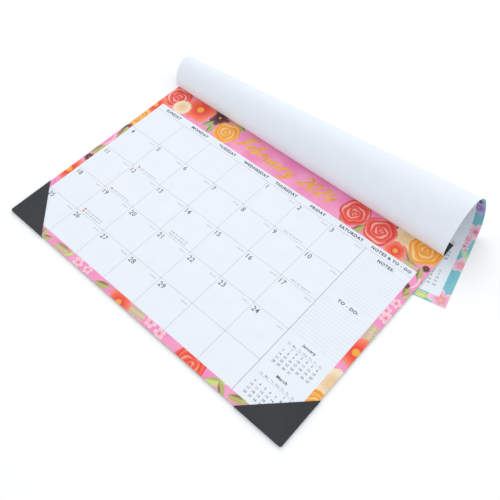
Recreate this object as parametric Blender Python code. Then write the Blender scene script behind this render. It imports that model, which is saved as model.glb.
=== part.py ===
"""Flip desk calendar: a landscape desk pad of twelve month leaves on a chipboard back.

The leaves are padded along their top edge under a wrapped headband, and two corner
pockets hold the free edge. The January leaf is finished with: it is turned back over
the headband in one open loop, wider at the right than at the left, and its free end
is tucked flat under the pad. February is the leaf on top.

Frame: X runs along the pad to the right, Y runs away from the user towards the bound
edge, Z is up. The origin is on the desk, under the middle of the bound edge.
"""

import math

import bmesh
import bpy
from mathutils import Euler, Matrix, Vector

# Paper: a 17 by 12 inch sheet
SHEET_WIDTH = 0.4318
SHEET_DEPTH = 0.3048
LEAF_THICKNESS = 0.00008
LEAF_PITCH = 0.00012
MONTHS = (
    "december",
    "november",
    "october",
    "september",
    "august",
    "july",
    "june",
    "may",
    "april",
    "march",
    "february",
    "january",
)

# Heights of the stack above the desk
BOARD_BOTTOM = 0.0007
BOARD_THICKNESS = 0.0010
STACK_BOTTOM = 0.0018
FLAP_THICKNESS = 0.0004
BAND_THICKNESS = 0.0003
CLEARANCE = 0.0003

# The bound edge
HEADBAND_DEPTH = 0.0180
CREASE_SETBACK = 0.0186
HINGE_SETBACK = 0.0206
COMPOUND_THICKNESS = 0.0003

# Corner pockets: legs of the right triangle that each one covers
POCKET_LEG = 0.0605
POCKET_WALL = 0.0005

# February bends at two lines as it is lifted, counted from the bound edge
FEBRUARY_FOLDS = (0.1132, 0.2050)

# January's loop: the lines where its flat strips meet, as distances from the crease
# along the sheet's left edge. At the right edge they are LOOP_FLARE times as far.
LOOP_FOLDS = (0.0054, 0.0223, 0.0460, 0.0573, 0.0710, 0.0944)
LOOP_FLARE = 1.701
FIRST_LIFT = math.radians(45.3)
FOLD_ANGLE = math.radians(44.92)
TAIL_HEIGHT = LEAF_THICKNESS / 2
FOLD_GAP = 0.0003

HALF_WIDTH = SHEET_WIDTH / 2
STACK_TOP = STACK_BOTTOM + LEAF_PITCH * (len(MONTHS) - 1) + LEAF_THICKNESS
FEBRUARY_TOP = STACK_TOP - LEAF_PITCH
HINGE_HEIGHT = FEBRUARY_TOP + LEAF_PITCH / 4
CREASE_HEIGHT = STACK_TOP + LEAF_PITCH / 2


def clear_scene():
    """Removes every object that the scene starts with."""
    for obj in list(bpy.data.objects):
        bpy.data.objects.remove(obj, do_unlink=True)


def new_collection(name):
    """Makes a collection in the scene."""
    collection = bpy.data.collections.new(name)
    bpy.context.scene.collection.children.link(collection)
    return collection


def new_material(name, colour, roughness):
    """A plain Principled material of one colour."""
    material = bpy.data.materials.new(name)
    material.use_nodes = True
    shader = material.node_tree.nodes["Principled BSDF"]
    shader.inputs["Base Color"].default_value = (*colour, 1.0)
    shader.inputs["Roughness"].default_value = roughness
    shader.inputs["Metallic"].default_value = 0.0
    material.diffuse_color = (*colour, 1.0)
    return material


def add_object(name, data, collection, material=None):
    """Wraps mesh or curve data in an object of the given collection."""
    obj = bpy.data.objects.new(name, data)
    collection.objects.link(obj)
    if material:
        data.materials.append(material)
    return obj


def add_sheet(name, outline, thickness, collection, material):
    """A flat sheet: a filled 2D outline, centred on its local XY plane."""
    curve = bpy.data.curves.new(name, "CURVE")
    curve.dimensions = "2D"
    curve.fill_mode = "BOTH"
    curve.extrude = thickness / 2
    spline = curve.splines.new("POLY")
    spline.points.add(len(outline) - 1)
    for point, (x, y) in zip(spline.points, outline):
        point.co = (x, y, 0.0, 1.0)
    spline.use_cyclic_u = True
    return add_object(name, curve, collection, material)


def add_slab(name, outline, low, high, collection, material=None):
    """A sheet made a closed mesh, between two heights."""
    sheet = add_sheet(name + "_outline", outline, high - low, collection, material)
    bpy.context.view_layer.update()
    graph = bpy.context.evaluated_depsgraph_get()
    mesh = bpy.data.meshes.new_from_object(sheet.evaluated_get(graph))
    mesh.name = name
    bpy.data.objects.remove(sheet)
    shape = bmesh.new()
    shape.from_mesh(mesh)
    bmesh.ops.remove_doubles(shape, verts=shape.verts, dist=0.000001)
    bmesh.ops.recalc_face_normals(shape, faces=shape.faces)
    shape.to_mesh(mesh)
    shape.free()
    obj = add_object(name, mesh, collection)
    obj.location.z = (low + high) / 2
    return obj


def add_bar(name, profile, length, collection, material):
    """A profile in the YZ plane, carried along X and centred on X = 0."""
    bar = add_sheet(name, profile, length, collection, material)
    bar.rotation_euler = Euler((math.pi / 2, 0.0, math.pi / 2))
    return bar


def add_empty(name, collection, parent=None):
    """An empty that carries a moving piece."""
    empty = bpy.data.objects.new(name, None)
    empty.empty_display_size = 0.02
    collection.objects.link(empty)
    empty.parent = parent
    return empty


def leaf_bottom(month):
    """The height of a leaf's lower face in the stack."""
    return STACK_BOTTOM + LEAF_PITCH * MONTHS.index(month)


def rectangle(left, right, front, back):
    """The corners of a rectangle, anticlockwise from the front left."""
    return [(left, front), (right, front), (right, back), (left, back)]


def build_backing(collection, material):
    """The chipboard that stiffens the pad."""
    outline = rectangle(-HALF_WIDTH, HALF_WIDTH, -SHEET_DEPTH, 0.0)
    board = add_slab(
        "backing_board",
        outline,
        BOARD_BOTTOM,
        BOARD_BOTTOM + BOARD_THICKNESS,
        collection,
        material,
    )
    return board


def build_bound_edge(collection, band_material, glue_material):
    """The headband, folded over the bound edge, and the padding compound inside it."""
    spine_inner = CLEARANCE + COMPOUND_THICKNESS + CLEARANCE
    spine_outer = spine_inner + BAND_THICKNESS
    under = BOARD_BOTTOM - BAND_THICKNESS / 2
    bottom = under - BAND_THICKNESS
    over = STACK_TOP + CLEARANCE
    top = over + BAND_THICKNESS
    profile = [
        (-HEADBAND_DEPTH, bottom),
        (spine_outer, bottom),
        (spine_outer, top),
        (-HEADBAND_DEPTH, top),
        (-HEADBAND_DEPTH, over),
        (spine_inner, over),
        (spine_inner, under),
        (-HEADBAND_DEPTH, under),
    ]
    add_bar("headband", profile, SHEET_WIDTH, collection, band_material)
    glue = rectangle(
        CLEARANCE, CLEARANCE + COMPOUND_THICKNESS, BOARD_BOTTOM, STACK_TOP
    )
    add_bar("padding_compound", glue, SHEET_WIDTH, collection, glue_material)


def pocket_outline(side, outer, reach):
    """A right triangle on one front corner.

    outer is how far its two legs stand outside the sheet, and reach is the length of
    the legs measured on the sheet's own edges.
    """
    corner_x = HALF_WIDTH + outer
    corner_y = -SHEET_DEPTH - outer
    points = [
        (-corner_x, corner_y),
        (-HALF_WIDTH + reach, corner_y),
        (-HALF_WIDTH + reach, -SHEET_DEPTH),
        (-HALF_WIDTH, -SHEET_DEPTH + reach),
        (-corner_x, -SHEET_DEPTH + reach),
    ]
    return [(-side * x, y) for x, y in points][::-side]


def build_pocket(name, side, collection, cutters, material):
    """One corner pocket: a triangular sleeve, open along its diagonal."""
    wall_outer = CLEARANCE + POCKET_WALL
    top = FEBRUARY_TOP + CLEARANCE + FLAP_THICKNESS
    outline = pocket_outline(side, wall_outer, POCKET_LEG)
    pocket = add_slab(name, outline, 0.0, top, collection)
    pocket.data.materials.clear()
    pocket.data.materials.append(material)
    slot_outline = pocket_outline(side, CLEARANCE, POCKET_LEG + 0.01)
    slot = add_slab(
        name + "_slot", slot_outline, FLAP_THICKNESS, top - FLAP_THICKNESS, cutters
    )
    slot.hide_render = True
    slot.display_type = "WIRE"
    cut = pocket.modifiers.new("slot", "BOOLEAN")
    cut.operation = "DIFFERENCE"
    cut.object = slot
    return pocket


def build_margins(collection, material):
    """The strip of each leaf that the headband holds, from the spine to the hinge line."""
    for month in MONTHS:
        setback = CREASE_SETBACK if month == "january" else HINGE_SETBACK
        outline = rectangle(-HALF_WIDTH, HALF_WIDTH, -setback + FOLD_GAP, 0.0)
        margin = add_sheet(
            month + "_margin", outline, LEAF_THICKNESS, collection, material
        )
        margin.location.z = leaf_bottom(month) + LEAF_THICKNESS / 2


def leaf_outline(back, front, corners):
    """A leaf, or a strip across it, with its front corners cut clear of the pockets."""
    if not corners:
        return rectangle(-HALF_WIDTH, HALF_WIDTH, front, back)
    cut = POCKET_LEG + 0.001
    return [
        (-HALF_WIDTH, back),
        (-HALF_WIDTH, front + cut),
        (-HALF_WIDTH + cut, front),
        (HALF_WIDTH - cut, front),
        (HALF_WIDTH, front + cut),
        (HALF_WIDTH, back),
    ]


def build_leaves(collection, material):
    """The eleven leaves still lying on the pad, February on top.

    All of them turn about one line on top of the stack, just in front of the margins.
    Each leaf's hinge carries the leaves above it, so lifting one lifts those too.
    """
    parent = None
    for month in MONTHS[:-1]:
        hinge = add_empty(month + "_hinge", collection, parent)
        if parent is None:
            hinge.location = (0.0, -HINGE_SETBACK, HINGE_HEIGHT)
        parent = hinge
        drop = leaf_bottom(month) + LEAF_THICKNESS / 2 - HINGE_HEIGHT
        if month == "february":
            build_february(hinge, drop, collection, material)
            continue
        front = -SHEET_DEPTH + HINGE_SETBACK
        outline = leaf_outline(-FOLD_GAP, front, True)
        leaf = add_sheet(month + "_leaf", outline, LEAF_THICKNESS, collection, material)
        leaf.parent = hinge
        leaf.location.z = drop


def build_february(hinge, drop, collection, material):
    """The top leaf as three strips, so that it curls back as it is lifted."""
    lines = [HINGE_SETBACK, *FEBRUARY_FOLDS, SHEET_DEPTH]
    for index in range(3):
        back_line = lines[index]
        front_line = lines[index + 1]
        last = index == 2
        front = back_line - front_line + (0.0 if last else FOLD_GAP)
        outline = leaf_outline(-FOLD_GAP, front, last)
        name = f"february_leaf_{index + 1}"
        if index:
            fold = add_empty(f"february_fold_{index}", collection, hinge)
            fold.location = (0.0, lines[index - 1] - back_line, drop * (index == 1))
            hinge = fold
            drop = 0.0
        leaf = add_sheet(name, outline, LEAF_THICKNESS, collection, material)
        leaf.parent = hinge
        leaf.location.z = drop


def hinge_frame(line):
    """A frame in the flat sheet at the middle of a fold line, with X along the line."""
    left, right = line
    start = Vector((-HALF_WIDTH, left, 0.0))
    end = Vector((HALF_WIDTH, right, 0.0))
    turn = Matrix.Rotation(math.atan2(right - left, SHEET_WIDTH), 4, "Z")
    return Matrix.Translation((start + end) / 2) @ turn


def to_local(frame, x, y):
    """A point of the flat sheet in a hinge frame."""
    point = frame.inverted() @ Vector((x, y, 0.0))
    return (point.x, point.y)


def strip_outline(frame, back_line, front_line, last):
    """The strip of sheet between two fold lines, in the frame of the first.

    A line is the pair of its Y values at the sheet's left and right edges.
    """
    front_gap = 0.0 if last else FOLD_GAP
    corners = [
        (-HALF_WIDTH, front_line[0] + front_gap),
        (HALF_WIDTH, front_line[1] + front_gap),
        (HALF_WIDTH, back_line[1] - FOLD_GAP),
        (-HALF_WIDTH, back_line[0] - FOLD_GAP),
    ]
    return [to_local(frame, x, y) for x, y in corners]


def landing_line(sheet_matrix):
    """Where a strip's plane comes down to the tail's height, as a fold line."""
    slope_x, slope_y, height = sheet_matrix[2][0], sheet_matrix[2][1], sheet_matrix[2][3]
    return tuple(
        (TAIL_HEIGHT - height - slope_x * x) / slope_y for x in (-HALF_WIDTH, HALF_WIDTH)
    )


def build_january(collection, material):
    """The turned leaf: flat strips folded about lines that fan out from its left.

    The sheet is folded from flat. Each strip turns about the line that it shares with
    the strip before it, the first about the crease at the headband. The last line is
    where the loop reaches the desk, so that the tail lies flat on it.
    """
    crease = (-CREASE_SETBACK, -CREASE_SETBACK)
    lines = [crease]
    for distance in LOOP_FOLDS:
        lines.append((crease[0] - distance, crease[1] - distance * LOOP_FLARE))
    angles = [FIRST_LIFT] + [FOLD_ANGLE] * len(LOOP_FOLDS)
    sheet_matrix = Matrix.Translation((0.0, 0.0, CREASE_HEIGHT))
    for line, angle in zip(lines, angles):
        frame = hinge_frame(line)
        fold = Matrix.Rotation(-angle, 4, "X")
        sheet_matrix = sheet_matrix @ frame @ fold @ frame.inverted()
    lines.append(landing_line(sheet_matrix))
    tilt = sheet_matrix.to_3x3() @ Vector((0.0, 0.0, 1.0))
    angles.append(math.acos(tilt.z))
    front_edge = (-SHEET_DEPTH, -SHEET_DEPTH)
    parent = None
    previous = Matrix.Translation((0.0, 0.0, -CREASE_HEIGHT))
    for index, (line, angle) in enumerate(zip(lines, angles)):
        frame = hinge_frame(line)
        hinge = add_empty(f"january_fold_{index + 1}", collection, parent)
        local = previous.inverted() @ frame @ Matrix.Rotation(-angle, 4, "X")
        hinge.location = local.to_translation()
        hinge.rotation_euler = local.to_euler()
        last = index == len(lines) - 1
        front_line = front_edge if last else lines[index + 1]
        outline = strip_outline(frame, line, front_line, last)
        name = f"january_leaf_{index + 1}"
        strip = add_sheet(name, outline, LEAF_THICKNESS, collection, material)
        strip.parent = hinge
        parent = hinge
        previous = frame


def main():
    """Builds the calendar."""
    clear_scene()
    calendar = new_collection("desk_calendar")
    cutters = new_collection("cutters")
    cutters.hide_render = True
    chipboard = new_material("chipboard", (0.42, 0.37, 0.31), 0.9)
    leatherette = new_material("leatherette", (0.05, 0.057, 0.065), 0.55)
    printed_paper = new_material("printed_paper", (0.84, 0.88, 0.93), 0.75)
    turned_paper = new_material("turned_paper", (0.86, 0.90, 0.95), 0.75)
    padding = new_material("padding", (0.75, 0.18, 0.16), 0.5)
    build_backing(calendar, chipboard)
    build_bound_edge(calendar, leatherette, padding)
    build_pocket("corner_pocket_left", -1, calendar, cutters, leatherette)
    build_pocket("corner_pocket_right", 1, calendar, cutters, leatherette)
    build_margins(calendar, printed_paper)
    build_leaves(calendar, printed_paper)
    build_january(calendar, turned_paper)


main()
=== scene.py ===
"""Looks of a desk-pad calendar: printed month leaves, a leatherette headband and corner
pockets, and the January leaf rolled back over the headband in one flaring loop."""

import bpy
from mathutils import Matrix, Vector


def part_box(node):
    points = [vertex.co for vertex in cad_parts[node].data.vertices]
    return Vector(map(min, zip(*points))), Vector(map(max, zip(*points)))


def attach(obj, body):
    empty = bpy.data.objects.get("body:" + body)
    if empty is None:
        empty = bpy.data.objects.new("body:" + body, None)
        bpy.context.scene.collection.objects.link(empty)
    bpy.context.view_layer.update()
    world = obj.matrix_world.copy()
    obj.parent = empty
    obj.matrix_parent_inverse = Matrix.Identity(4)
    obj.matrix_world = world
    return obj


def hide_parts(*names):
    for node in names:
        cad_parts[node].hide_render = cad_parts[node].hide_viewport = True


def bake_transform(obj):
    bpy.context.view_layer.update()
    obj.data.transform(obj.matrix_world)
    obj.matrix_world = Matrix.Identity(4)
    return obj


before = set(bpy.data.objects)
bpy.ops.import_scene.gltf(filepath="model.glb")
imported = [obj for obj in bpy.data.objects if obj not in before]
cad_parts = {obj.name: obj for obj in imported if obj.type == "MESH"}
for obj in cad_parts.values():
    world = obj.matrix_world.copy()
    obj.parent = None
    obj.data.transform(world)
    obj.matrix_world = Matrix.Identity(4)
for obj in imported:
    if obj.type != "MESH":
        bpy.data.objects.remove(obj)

import calendar
import logging
import math
from dataclasses import dataclass, field
from enum import Enum
from typing import Iterable, Optional, Sequence

import bmesh
import bpy
import numpy as np
from mathutils import Matrix, Vector

LOG = logging.getLogger("desk_calendar")
MM = 0.001
YEAR = 2024

# The sheet: X across it, Y from the bound edge (0) down to the front edge
SHEET_WIDTH = 0.4318
SHEET_DEPTH = 0.3048
HALF_WIDTH = SHEET_WIDTH / 2
LEAF_THICKNESS = 0.00008
MONTHS = (
    "december",
    "november",
    "october",
    "september",
    "august",
    "july",
    "june",
    "may",
    "april",
    "march",
    "february",
)
FEBRUARY_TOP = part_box("february_margin")[1].z
CREASE_SETBACK = 0.0186
HINGE_SETBACK = 0.0206

# Printed layout, from the sheet's front left corner
PANEL_LEFT = 0.00792
PANEL_RIGHT = SHEET_WIDTH - 0.01099
PANEL_FRONT = 0.01129
PANEL_BACK = 0.24813
GRID_LEFT = 0.00995
GRID_BACK = 0.23743
CELL_WIDTH = 0.04977
CELL_DEPTH = 0.04592
NOTES_LEFT = GRID_LEFT + 7 * CELL_WIDTH

Rgb = tuple[float, float, float]
Array = np.ndarray


def linear(colour: Rgb) -> Array:
    """Turns a colour of 0 to 255 a channel into linear light.

    Args:
        colour: red, green and blue as a screen shows them.

    Returns:
        The three linear values, from 0 to 1.
    """
    c = np.asarray(colour, float) / 255
    return np.where(c <= 0.04045, c / 12.92, ((c + 0.055) / 1.055) ** 2.4)


def soft_step(low: float, high: float, value: Array) -> Array:
    """The smooth step 3t^2 - 2t^3, where t runs from 0 at low to 1 at high.

    Args:
        low: where the step starts.
        high: where it ends.
        value: the values to step.

    Returns:
        The step, from 0 to 1.
    """
    t = np.clip((value - low) / (high - low), 0, 1)
    return t * t * (3 - 2 * t)


def wash(x: Array, y: Array, scale: float, seed: int) -> Array:
    """A watercolour wash: the mean of nine sine waves in seeded directions.

    Args:
        x: positions across, in any unit.
        y: positions up.
        scale: the longest wavelength, in that unit.
        seed: the seed of the directions.

    Returns:
        Values of about -1 to 1.
    """
    rng = np.random.default_rng(seed)
    total = np.zeros_like(x, dtype=float)
    for _ in range(9):
        turn, phase, pitch = rng.uniform(0, 2 * math.pi, 3)
        reach = 2 * math.pi / (scale * (0.3 + 0.7 * pitch / (2 * math.pi)))
        total += np.sin(reach * (x * math.cos(turn) + y * math.sin(turn)) + phase)
    return total / 4.5


# ---------------------------------------------------------------- meshes


def grid_quads(rows: int, columns: int) -> Array:
    """The four-sided faces of a grid of rows by columns of points.

    Args:
        rows: points along the first parameter.
        columns: points along the second.

    Returns:
        Indices of shape (faces, 4), turning from the first parameter to the second.
    """
    i = np.arange(rows * columns).reshape(rows, columns)
    return np.stack([i[:-1, :-1], i[1:, :-1], i[1:, 1:], i[:-1, 1:]], -1).reshape(-1, 4)


def shell_quads(rows: int, columns: int) -> Array:
    """The faces of a closed sheet: one grid above, one below, and the walls between.

    Args:
        rows: points along the first parameter.
        columns: points along the second.

    Returns:
        Indices of shape (faces, 4); the lower grid's points follow the upper grid's.
    """
    size = rows * columns
    top = grid_quads(rows, columns)
    under = top[:, ::-1] + size
    i = np.arange(size).reshape(rows, columns)
    rim = np.concatenate([i[:-1, 0], i[-1, :-1], i[:0:-1, -1], i[0, :0:-1]])
    after = np.roll(rim, -1)
    walls = np.stack([after, rim, rim + size, after + size], -1)
    return np.concatenate([top, under, walls])


def ring_quads(stations: int, count: int) -> Array:
    """The faces of a wall whose closed section is carried along, with its two ends.

    The section's first half is the wall's outer line and its second half the inner
    line run back, so each end is the strip between the two.

    Args:
        stations: how many sections there are.
        count: points in each section, an even number.

    Returns:
        Indices of shape (faces, 4).
    """
    ring = np.arange(count)
    after = np.roll(ring, -1)
    steps = np.arange(stations - 1)[:, None] * count
    walls = np.stack(
        [steps + ring, steps + after, steps + after + count, steps + ring + count], -1
    ).reshape(-1, 4)
    i = np.arange(count // 2 - 1)
    cap = np.stack([i, count - 1 - i, count - 2 - i, i + 1], 1)
    return np.concatenate([walls, cap, cap[:, ::-1] + (stations - 1) * count])


def facing_out(points: Array, faces: Array) -> Array:
    """Turns a closed shell's faces outwards, by the sign of the volume they hold.

    Args:
        points: vertex places of shape (n, 3).
        faces: vertex indices of shape (m, corners).

    Returns:
        The faces, turned round where the volume was negative.
    """
    centred = points - points.mean(0)
    a = centred[faces[:, 0]]
    volume = sum(
        np.einsum("ij,ij->", a, np.cross(centred[faces[:, k]], centred[faces[:, k + 1]]))
        for k in range(1, faces.shape[1] - 1)
    )
    return faces[:, ::-1] if volume < 0 else faces


def merge_doubles(obj: bpy.types.Object) -> None:
    """Merges a piece's points that coincide, where a wall runs out to nothing.

    Args:
        obj: the piece.
    """
    work = bmesh.new()
    work.from_mesh(obj.data)
    bmesh.ops.remove_doubles(work, verts=work.verts, dist=1e-7)
    work.to_mesh(obj.data)
    work.free()


def new_piece(
    name: str,
    points: Array,
    faces: Array,
    material: bpy.types.Material,
    colours: Optional[Array] = None,
    flat: Optional[Array] = None,
    smooth: bool = True,
) -> bpy.types.Object:
    """Makes a piece from whole arrays.

    Args:
        name: the piece's name.
        points: vertex places of shape (n, 3), in the row frame.
        faces: vertex indices of shape (m, corners).
        material: the piece's finish.
        colours: linear colours of shape (n, 3), kept in the attribute "print".
        flat: the vertices' places in the flat sheet, kept as the UV map "sheet".
        smooth: whether the faces shade as one surface, but for its sharp edges.

    Returns:
        The object, at the origin.
    """
    faces = facing_out(points, faces)
    mesh = bpy.data.meshes.new(name)
    mesh.vertices.add(len(points))
    mesh.vertices.foreach_set("co", np.ascontiguousarray(points, np.float32).ravel())
    mesh.loops.add(faces.size)
    mesh.loops.foreach_set("vertex_index", np.ascontiguousarray(faces, np.int32).ravel())
    mesh.polygons.add(len(faces))
    starts = np.arange(0, faces.size, faces.shape[1], dtype=np.int32)
    mesh.polygons.foreach_set("loop_start", starts)
    mesh.polygons.foreach_set("use_smooth", np.full(len(faces), smooth))
    mesh.update(calc_edges=True)
    if smooth:
        mesh.set_sharp_from_angle(angle=math.radians(40))
    if colours is not None:
        layer = mesh.color_attributes.new("print", "FLOAT_COLOR", "POINT")
        rgba = np.concatenate([colours, np.ones((len(colours), 1))], 1)
        layer.data.foreach_set("color", rgba.astype(np.float32).ravel())
    if flat is not None:
        uv = mesh.uv_layers.new(name="sheet")
        corner = (flat[faces.ravel()] + [HALF_WIDTH, SHEET_DEPTH]) / SHEET_WIDTH
        uv.data.foreach_set("uv", corner.astype(np.float32).ravel())
    mesh.materials.append(material)
    obj = bpy.data.objects.new(name, mesh)
    bpy.context.scene.collection.objects.link(obj)
    return obj


def report(obj: bpy.types.Object) -> bpy.types.Object:
    """Logs a finished piece and hands it back.

    Args:
        obj: the piece.

    Returns:
        The same piece.
    """
    LOG.info("%s: %d faces", obj.name, len(obj.data.polygons))
    return obj


# ---------------------------------------------------------------- shader groups


@dataclass
class NodeBench:
    """Places nodes in a tree and joins them."""

    tree: bpy.types.NodeTree

    def add(self, kind: str, **settings: object) -> bpy.types.Node:
        """Adds a node.

        Args:
            kind: the node's Blender type.
            settings: its properties, or its inputs by name where the name is one.

        Returns:
            The node.
        """
        node = self.tree.nodes.new(kind)
        for key, value in settings.items():
            label = key.replace("_", " ")
            if hasattr(node, key):
                setattr(node, key, value)
            else:
                node.inputs[label].default_value = value
        return node

    def join(self, source: bpy.types.NodeSocket, target: bpy.types.NodeSocket) -> None:
        """Joins an output to an input."""
        self.tree.links.new(source, target)

    def mix(self, share: object, first: object, second: object) -> bpy.types.NodeSocket:
        """Mixes two colours.

        Args:
            share: the second colour's share, a socket or a number.
            first: the first colour, a socket or linear values.
            second: the second colour, likewise.

        Returns:
            The mixed colour's socket.
        """
        node = self.tree.nodes.new("ShaderNodeMix")
        node.data_type = "RGBA"
        for index, value in ((0, share), (6, first), (7, second)):
            if isinstance(value, bpy.types.NodeSocket):
                self.join(value, node.inputs[index])
            else:
                node.inputs[index].default_value = value
        return node.outputs[2]

    def spread(
        self, source: bpy.types.NodeSocket, low: float, high: float
    ) -> bpy.types.NodeSocket:
        """Takes a value of 0 to 1 to a value of low to high.

        Args:
            source: the value's socket.
            low: what 0 becomes.
            high: what 1 becomes.

        Returns:
            The new value's socket.
        """
        node = self.add("ShaderNodeMapRange")
        node.inputs["To Min"].default_value = low
        node.inputs["To Max"].default_value = high
        self.join(source, node.inputs["Value"])
        return node.outputs["Result"]


def new_group(
    name: str, inputs: dict[str, float], outputs: Sequence[str]
) -> tuple[NodeBench, bpy.types.Node, bpy.types.Node]:
    """Starts a shader node group of one vector input, some numbers and some outputs.

    Args:
        name: the group's name.
        inputs: the number inputs with their values.
        outputs: the number outputs.

    Returns:
        The bench of the group's tree, its input node and its output node.
    """
    tree = bpy.data.node_groups.new(name, "ShaderNodeTree")
    tree.interface.new_socket("Place", in_out="INPUT", socket_type="NodeSocketVector")
    for label, value in inputs.items():
        made = tree.interface.new_socket(
            label, in_out="INPUT", socket_type="NodeSocketFloat"
        )
        made.default_value = value
    for label in outputs:
        tree.interface.new_socket(label, in_out="OUTPUT", socket_type="NodeSocketFloat")
    bench = NodeBench(tree)
    return bench, bench.add("NodeGroupInput"), bench.add("NodeGroupOutput")


def paper_grain_group() -> bpy.types.NodeTree:
    """Paper: cloudy formation, and a fine felt of fibres for the bump.

    Returns:
        The group, with outputs Cloud and Felt.
    """
    bench, start, end = new_group(
        "paper_grain", {"Cloud Scale": 22.0, "Felt Scale": 900.0}, ("Cloud", "Felt")
    )
    cloud = bench.add("ShaderNodeTexNoise", Detail=3.0, Roughness=0.6)
    felt = bench.add("ShaderNodeTexNoise", Detail=4.0, Roughness=0.7)
    for noise, scale, out in ((cloud, "Cloud Scale", "Cloud"), (felt, "Felt Scale", "Felt")):
        bench.join(start.outputs["Place"], noise.inputs["Vector"])
        bench.join(start.outputs[scale], noise.inputs["Scale"])
        bench.join(noise.outputs["Fac"], end.inputs[out])
    return bench.tree


def scuff_group() -> bpy.types.NodeTree:
    """Handling marks: broad cloudy rubbing, and sparse fine specks of dust.

    Returns:
        The group, with outputs Rub and Speck.
    """
    bench, start, end = new_group(
        "handling_scuffs", {"Rub Scale": 18.0, "Speck Scale": 700.0}, ("Rub", "Speck")
    )
    rub = bench.add("ShaderNodeTexNoise", Detail=5.0, Roughness=0.65)
    bench.join(start.outputs["Place"], rub.inputs["Vector"])
    bench.join(start.outputs["Rub Scale"], rub.inputs["Scale"])
    bench.join(rub.outputs["Fac"], end.inputs["Rub"])
    dots = bench.add("ShaderNodeTexVoronoi", feature="F1")
    bench.join(start.outputs["Place"], dots.inputs["Vector"])
    bench.join(start.outputs["Speck Scale"], dots.inputs["Scale"])
    near = bench.add("ShaderNodeMapRange")
    near.inputs["From Min"].default_value = 0.0
    near.inputs["From Max"].default_value = 0.16
    near.inputs["To Min"].default_value = 1.0
    near.inputs["To Max"].default_value = 0.0
    bench.join(dots.outputs["Distance"], near.inputs["Value"])
    bench.join(near.outputs["Result"], end.inputs["Speck"])
    return bench.tree


@dataclass
class Groups:
    """The shader groups that several finishes share, each built once."""

    paper_grain: bpy.types.NodeTree = field(default_factory=paper_grain_group)
    scuffs: bpy.types.NodeTree = field(default_factory=scuff_group)


def new_finish(name: str) -> tuple[bpy.types.Material, NodeBench, bpy.types.Node]:
    """Starts a material with its Principled shader.

    Args:
        name: the material's name.

    Returns:
        The material, the bench of its tree and the shader node.
    """
    material = bpy.data.materials.new(name)
    material.use_nodes = True
    shader = material.node_tree.nodes["Principled BSDF"]
    return material, NodeBench(material.node_tree), shader


def placed_group(
    bench: NodeBench, tree: bpy.types.NodeTree, place: bpy.types.NodeSocket, **values: float
) -> bpy.types.Node:
    """Places a shader group in a material.

    Args:
        bench: the material's bench.
        tree: the group.
        place: the socket of the coordinates it reads.
        values: its number inputs, with underscores for spaces.

    Returns:
        The group's node.
    """
    node = bench.add("ShaderNodeGroup")
    node.node_tree = tree
    bench.join(place, node.inputs["Place"])
    for label, value in values.items():
        node.inputs[label.replace("_", " ")].default_value = value
    return node


def add_bump(
    bench: NodeBench,
    shader: bpy.types.Node,
    height: bpy.types.NodeSocket,
    depth: float,
    strength: float,
) -> None:
    """Feeds a height into the shader's normal.

    Args:
        bench: the material's bench.
        shader: its Principled node.
        height: the height's socket, 0 to 1.
        depth: the relief in metres.
        strength: the bump's strength.
    """
    bump = bench.add("ShaderNodeBump")
    bump.inputs["Strength"].default_value = strength
    bump.inputs["Distance"].default_value = depth
    bench.join(height, bump.inputs["Height"])
    bench.join(bump.outputs["Normal"], shader.inputs["Normal"])


@dataclass(frozen=True)
class PaperFinish:
    """Uncoated paper, tinted by the printed colours that its mesh carries."""

    name: str
    roughness: float = 0.68
    cloud: float = 0.035

    def build(self, groups: Groups) -> bpy.types.Material:
        """Builds the material.

        Args:
            groups: the shared shader groups.

        Returns:
            The material.
        """
        material, bench, shader = new_finish(self.name)
        sheet = bench.add("ShaderNodeUVMap", uv_map="sheet")
        grain = placed_group(bench, groups.paper_grain, sheet.outputs["UV"])
        ink = bench.add("ShaderNodeAttribute", attribute_name="print")
        shade = bench.spread(grain.outputs["Cloud"], 1.0 - self.cloud, 1.0 + self.cloud)
        tint = bench.add("ShaderNodeMix", data_type="RGBA", blend_type="MULTIPLY")
        tint.inputs[0].default_value = 1.0
        bench.join(ink.outputs["Color"], tint.inputs[6])
        bench.join(shade, tint.inputs[7])
        bench.join(tint.outputs[2], shader.inputs["Base Color"])
        rough = bench.spread(
            grain.outputs["Felt"], self.roughness - 0.08, self.roughness + 0.1
        )
        bench.join(rough, shader.inputs["Roughness"])
        shader.inputs["Specular IOR Level"].default_value = 0.35
        add_bump(bench, shader, grain.outputs["Felt"], 0.00002, 0.35)
        return material


@dataclass(frozen=True)
class BoundPaperFinish:
    """The unprinted paper of the bound strips, cloudy and a little darker when dense."""

    name: str = "bound_paper"
    pale: Rgb = (241, 246, 251)
    dense: Rgb = (226, 233, 240)

    def build(self, groups: Groups) -> bpy.types.Material:
        """Builds the material.

        Args:
            groups: the shared shader groups.

        Returns:
            The material.
        """
        material, bench, shader = new_finish(self.name)
        place = bench.add("ShaderNodeTexCoord").outputs["Object"]
        grain = placed_group(bench, groups.paper_grain, place, Cloud_Scale=60.0)
        tone = bench.mix(
            grain.outputs["Cloud"], (*linear(self.pale), 1), (*linear(self.dense), 1)
        )
        bench.join(tone, shader.inputs["Base Color"])
        bench.join(bench.spread(grain.outputs["Felt"], 0.6, 0.8), shader.inputs["Roughness"])
        add_bump(bench, shader, grain.outputs["Felt"], 0.00002, 0.35)
        return material


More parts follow.
